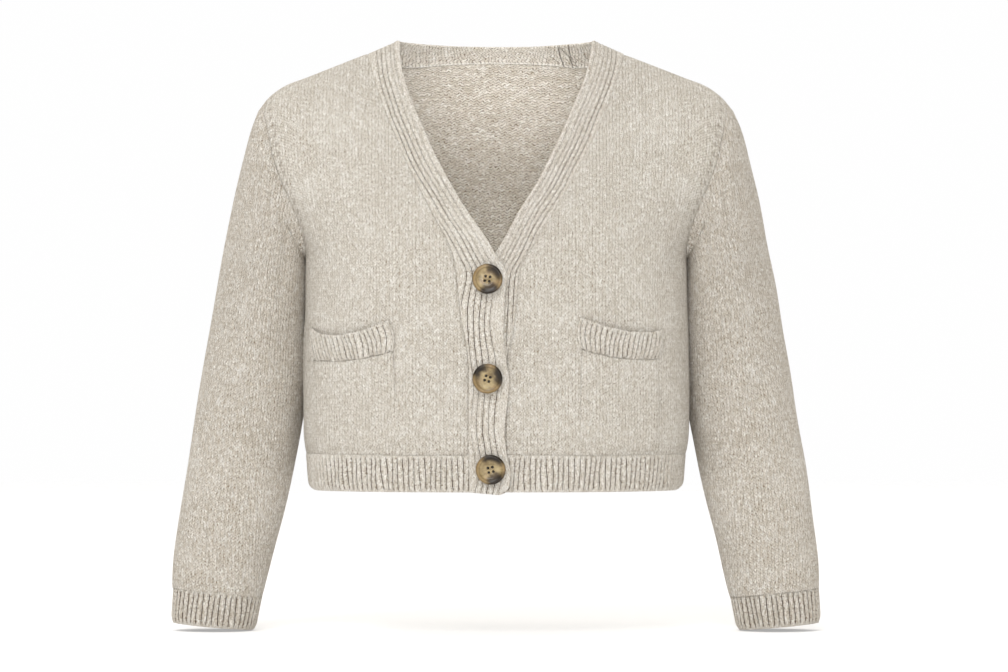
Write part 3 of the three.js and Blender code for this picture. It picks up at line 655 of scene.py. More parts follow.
# columns: outer x, outer z, inner x, inner z, half depth, middle y, bulge of the cap
SLEEVE = np.array([
    (236, -70, 192, -214.5, 51, 2, 9), (243.5, -88, 191, -231, 55, 8, 8),
    (251, -112, 190, -250, 58.5, 14, 6), (259.5, -144, 189.5, -272, 61, 20, 4),
    (267.5, -182, 189.5, -298, 62, 25, 2), (275.5, -224, 190, -326, 61, 28, 1),
    (283.5, -268, 192, -355, 58.5, 29, 0), (291.5, -313, 196.2, -385, 55.5, 28, 0),
    (299, -358, 202, -415, 52, 25, 0), (306, -403, 208.5, -445, 48.5, 21, 0),
    (312.5, -447, 215.5, -474, 45, 16, 0), (318, -488, 223, -503, 41, 11, 0),
    (321.5, -520, 229.5, -531, 37, 7, 0), (322.5, -546, 235, -554.5, 33, 4, 0),
])
SLEEVE_WAY = np.array([0.156, 0.0, -0.988])
ACROSS_ARM = np.array([0.988, 0.0, 0.156])
# Places are (degrees round from the outer line by the front, times 0.9, and distance below the armhole).
SLEEVE_CREASES = {
    1: (
        ((112, 26), (92, 120), 9, 3.2), ((80, 20), (70, 95), 8, 2.4), ((52, 14), (48, 70), 8, 1.8),
        ((128, 90), (88, 190), 12, 2.6), ((120, 200), (60, 248), 12, 2.2), ((40, 236), (96, 270), 11, 1.8),
        ((100, 330), (40, 360), 13, 1.6), ((20, 300), (60, 322), 12, 1.4), ((60, 400), (110, 425), 12, 1.5),
        ((230, 60), (260, 150), 12, 2.4), ((210, 190), (270, 230), 13, 2.2),
        ((250, 330), (220, 380), 13, 1.6),
    ),
    -1: (
        ((114, 22), (96, 110), 9, 3.0), ((84, 22), (72, 88), 8, 2.6), ((56, 16), (50, 76), 8, 1.6),
        ((124, 100), (84, 205), 12, 2.4), ((116, 214), (66, 256), 12, 2.4), ((36, 250), (90, 284), 11, 1.6),
        ((104, 318), (46, 352), 13, 1.8), ((24, 320), (66, 338), 12, 1.2), ((54, 408), (104, 436), 12, 1.4),
        ((232, 70), (258, 160), 12, 2.2), ((208, 200), (268, 244), 13, 2.0),
        ((252, 340), (224, 372), 13, 1.5),
    ),
}


def tube(table, rows, cols):
    """Rings round the arm between its outer and inner lines."""
    keys = np.arange(len(table))
    lines = [curve(keys, table[:, k])(rows)[:, None] for k in range(7)]
    out_x, out_z, in_x, in_z, deep, mid_y, bulge = lines
    angle = (2 * np.pi * np.arange(cols) / cols)[None]
    c = (1 + np.cos(angle)) / 2
    x = in_x + (out_x - in_x) * c + bulge * np.sin(angle) ** 2
    return np.stack([x, mid_y - deep * np.sin(angle), in_z + (out_z - in_z) * c], -1)


def armhole_ring(cols):
    """The armhole seam, from its top down the front and up the back."""
    share = np.arange(cols) / cols * 2
    front = share <= 1
    down = np.where(front, share, 2 - share)
    z = armhole_z(down)
    x = armhole_x(z)
    p = np.where(front[:, None], body_point(x, z, True), body_point(x, z, False))
    p[0] = (SHOULDER_X, 0, ARMHOLE_TOP)
    p[cols // 2] = (SIDE_X, 0, ARMHOLE_BOTTOM)
    return p


# The sleeves' copy of the jersey, with more painted shade between stitches and a lighter, warmer yarn: it
# paints the light and shade that fall on the sleeves.
sleeve_face = knit("sleeve_face", "plain", 1.4, 1.25, 0.27, warm=1.0)


def arm_columns(grid):
    """How far round the arm each point is from its outer line, so that stitch columns run straight down."""
    down = grid @ SLEEVE_WAY
    wide, deep = grid @ ACROSS_ARM, grid[..., 1]
    cuts = np.arange(250.0, down.max(), 12.0)
    middle, reach, half, centre = [], [], [], []
    for cut in cuts:
        near = np.abs(down - cut) < 9
        a, b = wide[near], deep[near]
        middle.append((a.max() + a.min()) / 2)
        reach.append((a.max() - a.min()) / 2)
        centre.append((b.max() + b.min()) / 2)
        half.append((b.max() - b.min()) / 2)
    middle, reach, centre, half = (np.interp(down, cuts, line) for line in (middle, reach, centre, half))
    angle = np.arctan2(-(deep - centre) / half, (wide - middle) / reach)
    cols = grid.shape[1] // 2
    angle[:, cols] = np.pi
    back_half = angle[:, cols + 1 :]
    angle[:, cols + 1 :] = np.where(back_half > 0.5, back_half - 2 * np.pi, back_half)
    return angle * (reach + half) / 2


def sleeve(side):
    cols = 132
    first = armhole_ring(cols)
    body = tube(SLEEVE, np.linspace(0, len(SLEEVE) - 1, 210), cols)
    t = np.linspace(0, 1, 7)[:-1, None, None]
    grid = np.concatenate([first[None] * (1 - t) + body[:1] * t, body])
    # the first ring reaches 0.8 mm further, into the seam
    into_seam = grid[0] - grid[1]
    grid[0] += into_seam / np.linalg.norm(into_seam, axis=-1, keepdims=True) * 0.8
    u = arm_columns(grid) / WALE
    u = np.concatenate([u, u[:, :1]], 1)
    wrap = np.concatenate([grid, grid[:, :1]], 1)
    v = -(wrap @ SLEEVE_WAY) / COURSE
    along = run(grid, 0)
    lift = tuck(along, 3.0, 0.2)
    lift += hand(grid, 20 + side, 1.1)
    angle = np.arange(cols) / cols * 360
    place = np.stack(np.broadcast_arrays(angle[None] * 0.9, along), -1)
    for a, b, wide, deep in SLEEVE_CREASES[side]:
        lift += crease(a, b, place, wide, deep)
    # far from any fashioning marks
    mark = np.stack([np.concatenate([along, along[:, :1]], 1) + 99, 0 * v], -1)
    grid = grid * [side, 1, 1]
    name = "sleeve_left_tube" if side > 0 else "sleeve_right_tube"
    return knit_mesh(
        name, grid, linked_end(along), u, v, (sleeve_face, jersey_back), outward=side, around=True,
        rise=lift, inner_rise=-lift, marks=mark,
    )


for side, node in ((1, "sleeve_left"), (-1, "sleeve_right")):
    piece = sleeve(side)
    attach(piece, "root")
    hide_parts(node)

# ---------------------------------------------------------------------------
# The cuffs: ribbed tubes linked to the ends of the sleeves, knitted with
# raised columns and narrow sunk ones, and cast off in a soft rounded edge.
RIB = 3.0                     # thickness of the ribbed edges
RIB_PITCH = 5.5               # from one raised column to the next
CUFF_LENGTH = 33.5
CUFF = np.array([
    (322.5, -546, 235, -554.5, 33, 4, 0), (323.5, -562, 238, -571, 33.5, 2, 0),
    (324.5, -580, 241, -587.5, 34, 0, 0),
])
# The rib, and the cuffs' copy of it with more painted shade between stitches and a darker, warmer yarn,
# painting the cuffs' shade; both yarns are warmed a little to paint shade.
ribbed = knit("rib_face", "plain", 1.05, 1.2, 0.3, warm=0.3, ribs=True)
cuff_face = knit("cuff_face", "plain", 1.2, 1.2, 0.2, warm=0.9, ribs=True)


def rib_place(phase):
    """0 at the middle of a raised column, 1 in the groove beside it; one rib for each whole number."""
    return np.abs((phase % 1.0) - 0.5) * 2


def rib_rise(phase, height=1.25):
    return height * (1 - rib_place(phase) ** 8) - height * 0.7


def lively(phase, along, seed):
    """Ribs that lean and wander a little."""
    rng = np.random.default_rng(seed)
    total = np.zeros(np.broadcast(phase, along).shape)
    for _ in range(5):
        lean = phase * rng.uniform(0.3, 1.9) + along * rng.uniform(0.02, 0.11)
        total += np.sin(lean + rng.uniform(0, 6.3)) * 0.06
    return phase + total


def edge_thickness(distance, full):
    """Cloth that rounds off at its cast-off edge."""
    r = full / 2
    return full * np.sqrt(np.clip(1 - (1 - np.clip(distance / r, 0.05, 1)) ** 2, 0, 1))


# rows close together where the cast-off edge rounds over: distance of each from the edge
OPEN_EDGE = np.array([3.2, 2.2, 1.5, 1.0, 0.6, 0.3, 0.0])


def cuff(side):
    cols = 420
    share = np.concatenate([np.linspace(0, 30 / CUFF_LENGTH, 16), 1 - OPEN_EDGE / CUFF_LENGTH])
    grid = tube(CUFF, share * 2, cols)
    turned = smooth(0.72, 1.0, share)[:, None] ** 2
    centre = grid.mean(1, keepdims=True)
    flat = grid - centre
    grid = centre + flat * (1 - 0.045 * turned[..., None])
    back_up = grid[:1] - grid[1:2]
    grid = np.concatenate([grid[:1] + back_up / np.linalg.norm(back_up, axis=-1, keepdims=True) * 2.0, grid])
    around = run(np.concatenate([grid, grid[:, :1]], 1), 1)
    ribs = round(around[0, -1] / RIB_PITCH)
    phase = around / around[:, -1:] * ribs
    along = run(grid, 0) - 2.0
    wide = np.concatenate([along, along[:, :1]], 1)
    phase = lively(phase, wide, 30 + side)
    strength = smooth(0, 3, wide) * (1 - 0.25 * smooth(29, 34, wide))
    rise = (rib_rise(phase) * strength)[:, :-1]
    inner = (rib_rise(phase + 0.5, 0.9) * strength)[:, :-1]
    rise += hand(grid, 40 + side, 0.7) - 0.7 - 0.6 * strength[:, :-1] - 0.4 * (along < 0)
    thick = edge_thickness(along[-1:] - along, RIB) * (1 - 0.5 * (along < 0))
    grid = grid * [side, 1, 1]
    name = "cuff_left_rib" if side > 0 else "cuff_right_rib"
    fade = edge_thickness(along[-1:] - along, 1.0)
    # strength of the painted shade in the rib grooves, fading at the seam and the cast-off edge
    dark = 1.55 * smooth(-0.5, 4.0, wide) * (1 - smooth(30, 33.2, wide))
    return knit_mesh(
        name, grid, thick, phase * 2 - 0.5, -wide / COURSE, (cuff_face, cuff_face), outward=side, around=True,
        rise=rise * fade, inner_rise=inner * fade, marks=np.stack([dark, wide], -1),
    )


for side, node in ((1, "cuff_left"), (-1, "cuff_right")):
    piece = cuff(side)
    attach(piece, "root")
    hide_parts(node)

# ---------------------------------------------------------------------------
# The hem rib: three lengths linked to the back and the fronts, with the same
# raised columns as the cuffs. It draws the body in a little.
HEM_DEPTH = 37.0


def hem(name, start, stop, front, seed, outward):
    down = np.concatenate([np.linspace(0, 32, 17), HEM_SEAM_Z - HEM_Z - OPEN_EDGE])
    z = HEM_SEAM_Z - down
    f = np.linspace(0, 1, 340 if front else 640)
    wide = side_width(z)[:, None]
    a0, a1 = np.arcsin(np.clip(start / wide, -1, 1)), np.arcsin(np.clip(stop / wide, -1, 1))
    x = wide * np.sin(a0 + (a1 - a0) * f[None])
    fine = body_point(x, z[:, None], front)
    if abs(stop) == SIDE_X:
        fine[:, -1, 1] = 0
    if abs(start) == SIDE_X:
        fine[:, 0, 1] = 0
    across = run(fine, 1)
    # even spacing of the columns round the body
    grid = np.empty_like(fine)
    for i in range(len(z)):
        target = f * across[i, -1]
        for c in range(3):
            grid[i, :, c] = np.interp(target, across[i], fine[i, :, c])
    turned = smooth(0, 1, (down / HEM_DEPTH) ** 5)[:, None]
    near_side = np.clip((np.abs(grid[..., 0]) - (wide - 8)) / 8, 0, 1)
    grid[..., 2] += 3.6 * near_side**2 * turned
    grid[..., :2] *= 1 - 0.01 * turned[..., None]
    grid = np.concatenate([grid[:1] + [0, 0, 2.0], grid])
    across = run(grid, 1)
    along = run(grid, 0) - 2.0
    ribs = round(across[0, -1] / RIB_PITCH)
    phase = lively(across / across[:, -1:] * ribs, along, seed)
    strength = smooth(0, 2.5, along) * (1 - 0.25 * smooth(31, 36, along))
    rise = (rib_rise(phase) + 0.2) * strength - 0.7 + hand(grid, seed, 0.6) - 0.4 * (along < 0)
    inner = rib_rise(phase + 0.5, 0.9) * strength
    thick = edge_thickness(along[-1:] - along, RIB) * (1 - 0.5 * (along < 0))
    fade = edge_thickness(along[-1:] - along, 1.0)
    # strength of the painted shade in the rib grooves, fading at the seam and the cast-off edge and weaker
    # towards the sides
    dark = 1.15 * smooth(0.5, 5.0, along) * (1 - smooth(32.5, 35.5, along))
    dark = dark * (1 - 0.75 * smooth(152, 184, np.abs(grid[..., 0])))
    return knit_mesh(
        name, grid, thick, phase * 2 - 0.5, -along / COURSE, (ribbed, ribbed), outward=outward,
        rise=rise * fade, inner_rise=inner * fade, marks=np.stack([dark, along], -1),
    )


for name, node, start, stop, front, outward, wide in (
    ("hem_back_rib", "hem_back", -SIDE_X, SIDE_X, False, 1, 0.48),
    ("hem_front_left_rib", "hem_front_left", 7, SIDE_X, True, -1, 0.235),
    ("hem_front_right_rib", "hem_front_right", -SIDE_X, -26, True, -1, 0.215),
):
    piece = hem(name, start, stop, front, len(name), outward)
    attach(piece, "root")
    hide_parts(node)

# ---------------------------------------------------------------------------
# The front and neck bands: one rib band runs up the right front, round the
# back neck and is joined behind the left shoulder to the band of the left
# front. The right one laps over the left; its buttonholes are not built.

# for each height: how far in from the free edge the six sunk columns lie, then how strongly each is drawn in
TOP_RIBS = np.array([
    (0, 5.5, 9.5, 14.5, 19.5, 24.3, 30, 0.15, 0.2, 0.2, 0.3, 0.35, 0),
    (-75, 6, 10.5, 15.5, 20, 24.2, 30, 0.15, 0.2, 0.4, 0.5, 0.45, 0),
    (-105, 6, 11, 16, 20.2, 24.5, 30, 0.15, 0.3, 0.4, 0.8, 0.45, 0),
    (-135, 5.5, 11.3, 15.6, 20.5, 25.4, 31, 0.3, 0.3, 0.45, 0.55, 0.5, 0),
    (-165, 6.5, 11.5, 17, 21.3, 26.5, 32, 0.25, 0.25, 0.35, 0.45, 0.5, 0.2),
    (-192, 8, 13.5, 19, 23.2, 29, 34, 0.15, 0.2, 0.3, 0.35, 0.4, 0.35),
    (-262, 12.5, 18, 23.2, 29.5, 35.5, 42, 0.35, 0.45, 0.8, 1, 0.9, 0.6),
    (-287, 13, 18.5, 23.6, 29, 34.6, 40.5, 0.6, 0.5, 0.7, 0.85, 0.95, 0.3),
    (-312, 11, 17.5, 24, 30, 35.5, 41, 0.4, 0.3, 1, 0.6, 0.4, 0),
    (-365, 11.5, 17.5, 23, 29, 33.8, 40, 0.45, 0.35, 0.35, 0.2, 0.3, 0),
    (-397, 8.5, 14, 20, 26, 31.5, 37.5, 0.45, 0.55, 0.65, 0.4, 0.2, 0),
    (-450, 9, 14.5, 20.5, 26, 31.5, 37.5, 0.4, 0.5, 0.5, 0.5, 0.4, 0),
])
UNDER_RIBS = np.array([
    (0, 3.5, 8.5, 13, 17, 21, 26, 0.2, 0.2, 0.2, 0.3, 0.35, 0.3),
    (-75, 3.8, 9, 13, 17.4, 22, 26, 0.2, 0.2, 0.2, 0.25, 0.55, 0.5),
    (-105, 4, 9.5, 13.5, 18, 22.5, 27, 0.25, 0.25, 0.4, 0.5, 0.5, 0.5),
    (-135, 4.5, 8.8, 13.5, 17.6, 22, 26.3, 0.25, 0.3, 0.5, 0.5, 0.5, 0.45),
    (-165, 4.5, 9.5, 14.5, 18.3, 24, 29, 0.2, 0.2, 0.25, 0.3, 0.4, 0.25),
    (-192, 6, 11, 15.3, 20.5, 24.6, 30, 0.2, 0.2, 0.3, 0.3, 0.55, 0.35),
    (-262, 12, 17, 22, 28, 33.6, 38.5, 0.2, 0.2, 0.2, 0.5, 0.8, 0.9),
    (-292, 12, 17, 22, 28, 33.8, 38.5, 0.2, 0.2, 0.2, 0.5, 0.7, 0.6),
    (-325, 12, 17, 22, 28, 33.8, 38.5, 0.2, 0.2, 0.2, 0.3, 0.3, 0.1),
    (-450, 12, 17, 22, 28, 33.8, 38.5, 0.2, 0.2, 0.2, 0.3, 0.3, 0.1),
])
# The inside of the bands: reverse rib whose yarn is lightened and warmed, painting the light and shade inside
# the neck.
rib_inside = knit("rib_inside", "reverse", 1.4, 1.2, 0.4, warm=1.2, ribs=True, joined=True)

# how far each band stands off the body's surface at its seam and at its free edge, once they lap
TOP_LIFT, UNDER_LIFT = (0.8, 3.7), (-0.6, -2.8)
LINE_REACH = 2.3              # half the width over which a sunk column's line can be drawn


def lapping(z):
    """1 where the bands lie on each other, 0 up the V."""
    return 1 - smooth(-200, -160, z)


def band(table, ribs, lift, first_t, side, name):
    cols = 96
    v = np.linspace(0, 1, cols)
    # round the back neck
    t = np.arange(first_t, 0.0, -0.045)
    seam = neck_seam(t)
    edge = np.stack([at(t) for at in neck_line[2:5]], -1)
    neck_rows = seam[:, None] * (1 - v)[None, :, None] + edge[:, None] * v[None, :, None]
    neck_rows[..., 2] += 1.5 * np.sin(np.pi * v)[None] * smooth(0, 1.2, t)[:, None]
    # over the shoulder and down the front
    share = np.linspace(0, 1, 84)
    shoulder_z = table[0, 0]
    upper = shoulder_z + (ARMHOLE_BOTTOM - shoulder_z) * (1 - np.cos(np.pi * share)) / 2
    lower = np.concatenate([np.linspace(ARMHOLE_BOTTOM, HEM_Z + 4, 96)[1:], HEM_Z + OPEN_EDGE])
    z0 = np.concatenate([upper, lower])
    seam_x, edge_x, edge_z = (curve(table[:, 0], table[:, k])(z0)[:, None] for k in (1, 2, 3))
    x = seam_x + (edge_x - seam_x) * v
    z = z0[:, None] + (edge_z - z0[:, None]) * v
    out = lapping(z0)[:, None] * (lift[0] + (lift[1] - lift[0]) * v)
    rows = body_point(x, z, True, out)
    rows[0, :, 1] = 0
    grid = np.concatenate([neck_rows, rows])
    across, along = run(grid, 1), run(grid, 0)
    from_edge = across[:, -1:] - across
    # the lower free corner is rounded
    corner = np.clip(1 - from_edge / 8, 0, 1) * np.clip(1 - (along[-1:] - along) / 8, 0, 1)
    grid = grid + 3.2 * corner[..., None] ** 1.5 * [1, 0, 1]
    line = along.mean(1, keepdims=True) + 0 * along
    wander = 0.35 * np.sin(line / 23.0 + 1.0) + 0.25 * np.sin(line / 9.0)
    groove, dark = np.zeros_like(across), np.zeros_like(across)
    end = smooth(0.5, 3.0, across)
    heights = np.concatenate([0 * t, z0])
    sunk = [np.interp(-heights, -ribs[:, 0], ribs[:, k])[:, None] for k in range(1, 13)]
    for n, g in enumerate(sunk[:6]):
        off = from_edge + wander - g
        strength = 1.6 * sunk[n + 6] ** 0.75 * (0.85 + 0.15 * np.sin(line / 31.0 + 2.1 * n))
        groove -= 0.75 * (0.4 + 0.6 * strength) * np.exp(-((off / 0.55) ** 2)) * end
        # and how strongly the painted shade of that sunk column's line is drawn
        dark = np.maximum(dark, strength * (np.abs(off) < LINE_REACH) * end)
    # the inside shows the join of the two bands, and the linked ridge beside the back's neck seam with a
    # painted highlight along it and painted shadow at the seam
    join = side * along + 0.5 * from_edge + 1.2 * np.sin(from_edge / 9.0)
    behind = heights[:, None] == 0
    linked = np.exp(-(((across - 2.2) / 1.3) ** 2)) * behind
    crown = 0.35 * np.exp(-(((from_edge - 3.2) / 2.6) ** 2))
    crown -= 0.2 * np.exp(-(((from_edge - 8.5) / 2.5) ** 2))
    rise = groove + crown + tuck(across, 2.6, 0.9) + hand(grid, 50 + side, 0.45)
    free = np.minimum(from_edge, (along[-1:] - along))
    fade = edge_thickness(free, 1.0)
    thick = edge_thickness(free, RIB) * np.where(behind, 0.75, 1)
    # stitch columns are counted from the free edge, so that each sunk one falls on its place
    keys = np.concatenate([0 * sunk[0], *sunk[:6], sunk[5] + 27], 1)
    counts = np.tile((0, 3.5, 5.5, 7.5, 9.5, 11.5, 13.5, 23.5), (len(keys), 1))
    counts[:, 0] = 3.5 - keys[:, 1] / 2.7
    u = np.stack([np.interp(*row) for row in zip(from_edge + wander, keys, counts)])
    grid = grid * [side, 1, 1]
    return knit_mesh(
        name, grid, thick, u, -line / COURSE, (ribbed, rib_inside), outward=side, rise=rise * fade,
        inner_rise=linked * 0.9 * fade, marks=np.stack([np.clip(dark, 0, 1), line], -1),
        inner_marks=np.stack([linked - np.exp(-((across / 0.9) ** 2)) * behind, join], -1),
    )


for table, ribs, lift, first_t, side, name, node, long in (
    (UNDER_BAND, UNDER_RIBS, UNDER_LIFT, 2.98, 1, "band_left_rib", "band_left", 0.56),
    (TOP_BAND, TOP_RIBS, TOP_LIFT, 6.98, -1, "band_right_rib", "band_right", 0.68),
):
    piece = band(table, ribs, lift, first_t, side, name)
    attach(piece, "root")
    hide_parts(node)

# ---------------------------------------------------------------------------
# The pockets: a plain-knitted patch on each front, sewn down on three sides,
# with a ribbed welt along its mouth that sags and stands off a little.

# three points along the top and three along the bottom of each piece: x towards its own side, height
POCKETS = {
    -1: dict(
        rib=(((104.5, -278), (150, -292.5), (181, -285)), ((100, -309), (141, -318), (179, -318))),
        bag=(((100, -309), (141, -318), (179, -318)), ((92.5, -406.5), (138, -408), (179, -408))),
    ),
    1: dict(
        rib=(((82.5, -275), (126, -288.5), (163, -287)), ((83, -307), (122, -316), (159, -316.5))),
        bag=(((83, -307), (122, -316), (160, -316.5)), ((81, -405.5), (122, -407.5), (161, -408.5))),
    ),
}
WELT = 2.6                    # thickness of the welt


def bend_line(points, u):
    """A line that bends through three points."""
    a, b, c = (np.array(p, float) for p in points)
    m = 2 * b - (a + c) / 2
    u = u[:, None]
    return a * (1 - u) ** 2 + 2 * m * u * (1 - u) + c * u * u


def pocket_bag(side):
    top, bottom = POCKETS[side]["bag"]
    u = np.linspace(0, 1, 44)
    w = np.linspace(0, 1, 50)[:, None, None]
    flat = bend_line(top, u)[None] * (1 - w) + bend_line(bottom, u)[None] * w
    inner = smooth(0, 0.28, u)[None]
    flat[..., 1] += 7.0 * (1 - inner) ** 2 * w[..., 0] ** 6
    grid = body_point(flat[..., 0], flat[..., 1], True, np.full(flat.shape[:2], 1.6))
    across, along = run(grid, 1), run(grid, 0)
    rim = np.minimum(np.minimum(across, across[:, -1:] - across), along[-1:] - along)
    lift = 0.9 * smooth(0, 5, rim) - 0.7 + hand(grid, 60 + side, 0.5)
    thick = 0.3 + 1.2 * smooth(0, 2.5, rim)
    grid = grid * [side, 1, 1]
    name = "pocket_left_bag" if side > 0 else "pocket_right_bag"
    return knit_mesh(
        name, grid, thick, (across + flat[:, :1, 0]) / WALE, -along / COURSE + 3.3,
        (jersey, jersey_back), outward=-side, rise=lift,
    )


def pocket_welt(side):
    top, bottom = POCKETS[side]["rib"]
    u = np.linspace(0, 1, 170)
    w = np.linspace(0, 1, 26)[:, None, None]
    flat = bend_line(top, u)[None] * (1 - w) + bend_line(bottom, u)[None] * w
    flat[..., 0] -= 3.6 * (1 - u[None]) ** 6 * np.sin(np.pi * w[..., 0])
    flat[..., 0] += 1.5 * u[None] ** 6 * np.sin(np.pi * w[..., 0])
    ragged = np.sin(u * 61 + side) * 0.5 + np.sin(u * 23 + 2) * 0.6 + np.abs(np.sin(u * 44)) * 0.9
    flat[..., 1] += ragged[None] * (w[..., 0] ** 5) - 0.5 * ragged[None] * (1 - w[..., 0]) ** 5
    gape = 4.4 * (1 - w[..., 0]) ** 1.5 * np.sin(np.pi * u)[None] ** 0.7
    grid = body_point(flat[..., 0], flat[..., 1], True, 2.5 + gape - 0.9 * smooth(0.75, 1.0, w[..., 0]))
    across, along = run(grid, 1), run(grid, 0)
    ribs = round(across[0, -1] / 5.3)
    even = across / across[:, -1:] * ribs + 0.5
    phase = even + (lively(even, along, 70 + side) - even) * 0.9
    ends = np.minimum(across, across[:, -1:] - across)
    strength = smooth(0.5, 3.0, ends) * smooth(0.3, 2.5, along) * smooth(0.3, 2.5, along[-1:] - along)
    free = np.minimum(np.minimum(ends, along), along[-1:] - along)
    rise = rib_rise(phase, 1.6) * strength
    thick = edge_thickness(free, WELT)
    fade = edge_thickness(free, 1.0)
    grid = grid * [side, 1, 1]
    name = "pocket_left_welt" if side > 0 else "pocket_right_welt"
    # the seam map carries the strength of the painted shade in the welt's grooves
    return knit_mesh(
        name, grid, thick, phase * 2 - 0.5, -along / COURSE, (ribbed, ribbed), outward=-side,
        rise=rise * fade, marks=np.stack([0.8 * strength, along], -1),
    )


for side, word in ((1, "left"), (-1, "right")):
    bag, welt = pocket_bag(side), pocket_welt(side)
    for piece, node, kind, size in (
        (bag, f"pocket_{word}", "knit_jersey", (0.085, 0.095)),
        (welt, f"pocket_rib_{word}", "knit_rib", (0.085, 0.032)),
    ):
        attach(piece, "root")
        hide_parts(node)

# ---------------------------------------------------------------------------
# The buttons: 46 ligne horn-look resin, turned with a raised rim and a dished
# face, drilled with four holes and polished. Each is sewn with dark thread.
BUTTON_RADIUS = 14.6
BUTTON_THICKNESS = 4.4
HOLE_RADIUS, HOLE_OFFSET = 1.35, 2.25
HOLES = ((1, 1), (-1, 1), (-1, -1), (1, -1))
SHANK = 0.9                   # thread wound between button and band
# outline of the face from the back plate out, over the rim and in to the dished middle: radius, height
BUTTON_OUTLINE = (
    (13.4, 0.7), (14.3, 1.4), (BUTTON_RADIUS, 2.2), (14.45, 3.1), (13.9, 3.9), (13.0, 4.35),
    (12.3, BUTTON_THICKNESS), (11.6, 4.2), (10.9, 3.8), (10.2, 3.45), (9.2, 3.2), (7.5, 3.05), (5.6, 2.95),
)
# name, x, height, turn, and the horn's two smoky patches:
# degrees clockwise from the top, half the spread, inner radius
BUTTONS = (
    ("top", -8, -238.5, -10, ((44, 34, 7.2), (171, 30, 5.4))),
    ("middle", -8, -335, -20, ((316, 30, 7.6), (76, 34, 5.8))),
    ("bottom", -5, -424, 12, ((14, 42, 8.6), (151, 34, 4.4))),
)

HORN, PALE_HORN, RIM_HORN, PINK_HORN = (120, 103, 71), (174, 156, 117), (128, 104, 65), (152, 126, 98)
RIM_SHADE, THIN_SMOKE, SMOKE = (70, 56, 38), (70, 57, 42), (21, 14, 8)


def horn(name, turn, patches):
    net = new_material(name)
    u, v = net.uv("face")
    cloud = net.noise(u, v, patches[0][0], scale=0.13, detail=3.0, rough=0.55)
    streak = net.noise(u * 0.5 + v * 0.2, v * 0.7, patches[1][0], scale=0.3, detail=4.0, rough=0.6)
    radius = (u * u + v * v) ** 0.5
    dark = radius.ramp(13.2, 15.0) * 0.35
    for clock, spread, inner in patches:
        angle = math.radians(90 - clock - turn)
        facing = (u * math.cos(angle) + v * math.sin(angle)) / radius.most(0.5)
        far, near = (math.cos(math.radians(spread + more)) for more in (26, -16))
        sector = (facing + (cloud - 0.5) * 0.5).ramp(far, near)
        patch = sector * (radius + (cloud - 0.5) * 7.0).ramp(inner - 2.6, inner + 2.6)
        dark = dark.most(patch)
    tan = net.mix(streak.ramp(0.3, 0.7), shade(HORN), shade(PALE_HORN))
    tan = net.mix(radius.ramp(8.0, 14.2) * 0.8, tan, shade(RIM_HORN))
    tan = net.mix(cloud.ramp(0.5, 0.72) * 0.5, tan, shade(PINK_HORN))
    # painted shade: a dark ring down the inner slope of the raised rim
    rim_shade_ring = (1.0 - abs(radius - 11.2) * 1.1).most(0.0)
    tan = net.mix(rim_shade_ring * 0.35, tan, shade(RIM_SHADE))
    smoke = net.mix(radius.ramp(6.0, 12.0), shade(THIN_SMOKE), shade(SMOKE))
    net.feed("Base Color", net.mix(dark * 0.97, tan, smoke))
    net.feed("Roughness", streak * 0.12 + 0.34)
    net.shader.inputs["Coat Weight"].default_value = 0.18
    net.shader.inputs["Coat Roughness"].default_value = 0.1
    net.shader.inputs["Specular IOR Level"].default_value = 0.25
    scratches = {"Strength": 0.08, "Distance": 0.0003, "Height": streak}
    net.feed("Normal", net.node("ShaderNodeBump", {}, scratches).out())
    return net.material


dark_thread = new_material("dark_thread")
spot = dark_thread.node("ShaderNodeTexCoord").out("Object")
ply = dark_thread.node("ShaderNodeTexNoise", {}, {"Vector": spot, "Scale": 2600.0, "Detail": 2.0}).out(0)
dark_thread.feed("Base Color", dark_thread.mix(ply, (0.012, 0.009, 0.007, 1), (0.05, 0.036, 0.027, 1)))
dark_thread.feed("Roughness", 0.75)


def band_face(table, lift, x, z):
    """How far a band's outer face stands off the body's surface."""
    seam = float(curve(table[:, 0], table[:, 1])(z))
    edge = float(curve(table[:, 0], table[:, 2])(z))
    return lift[0] + (lift[1] - lift[0]) * (seam - x) / (seam - edge) + RIB / 2


def select_only(obj):
    bpy.ops.object.select_all(action="DESELECT")
    obj.select_set(True)
    bpy.context.view_layer.objects.active = obj


def seat(obj, x, z, out, turn):
    """Moves a piece drawn along +Z in millimetres so that it faces out of the band."""
    at = body_point(x, z, True, out)
    normal = Vector(at - body_point(x, z, True, out - 1.0)).normalized()
    aim = Vector((0, 0, 1)).rotation_difference(normal).to_matrix().to_4x4()
    place = Matrix.Translation(Vector(at) * MM) @ aim @ Matrix.Rotation(math.radians(turn), 4, "Z")
    obj.data.transform(place @ Matrix.Scale(MM, 4))


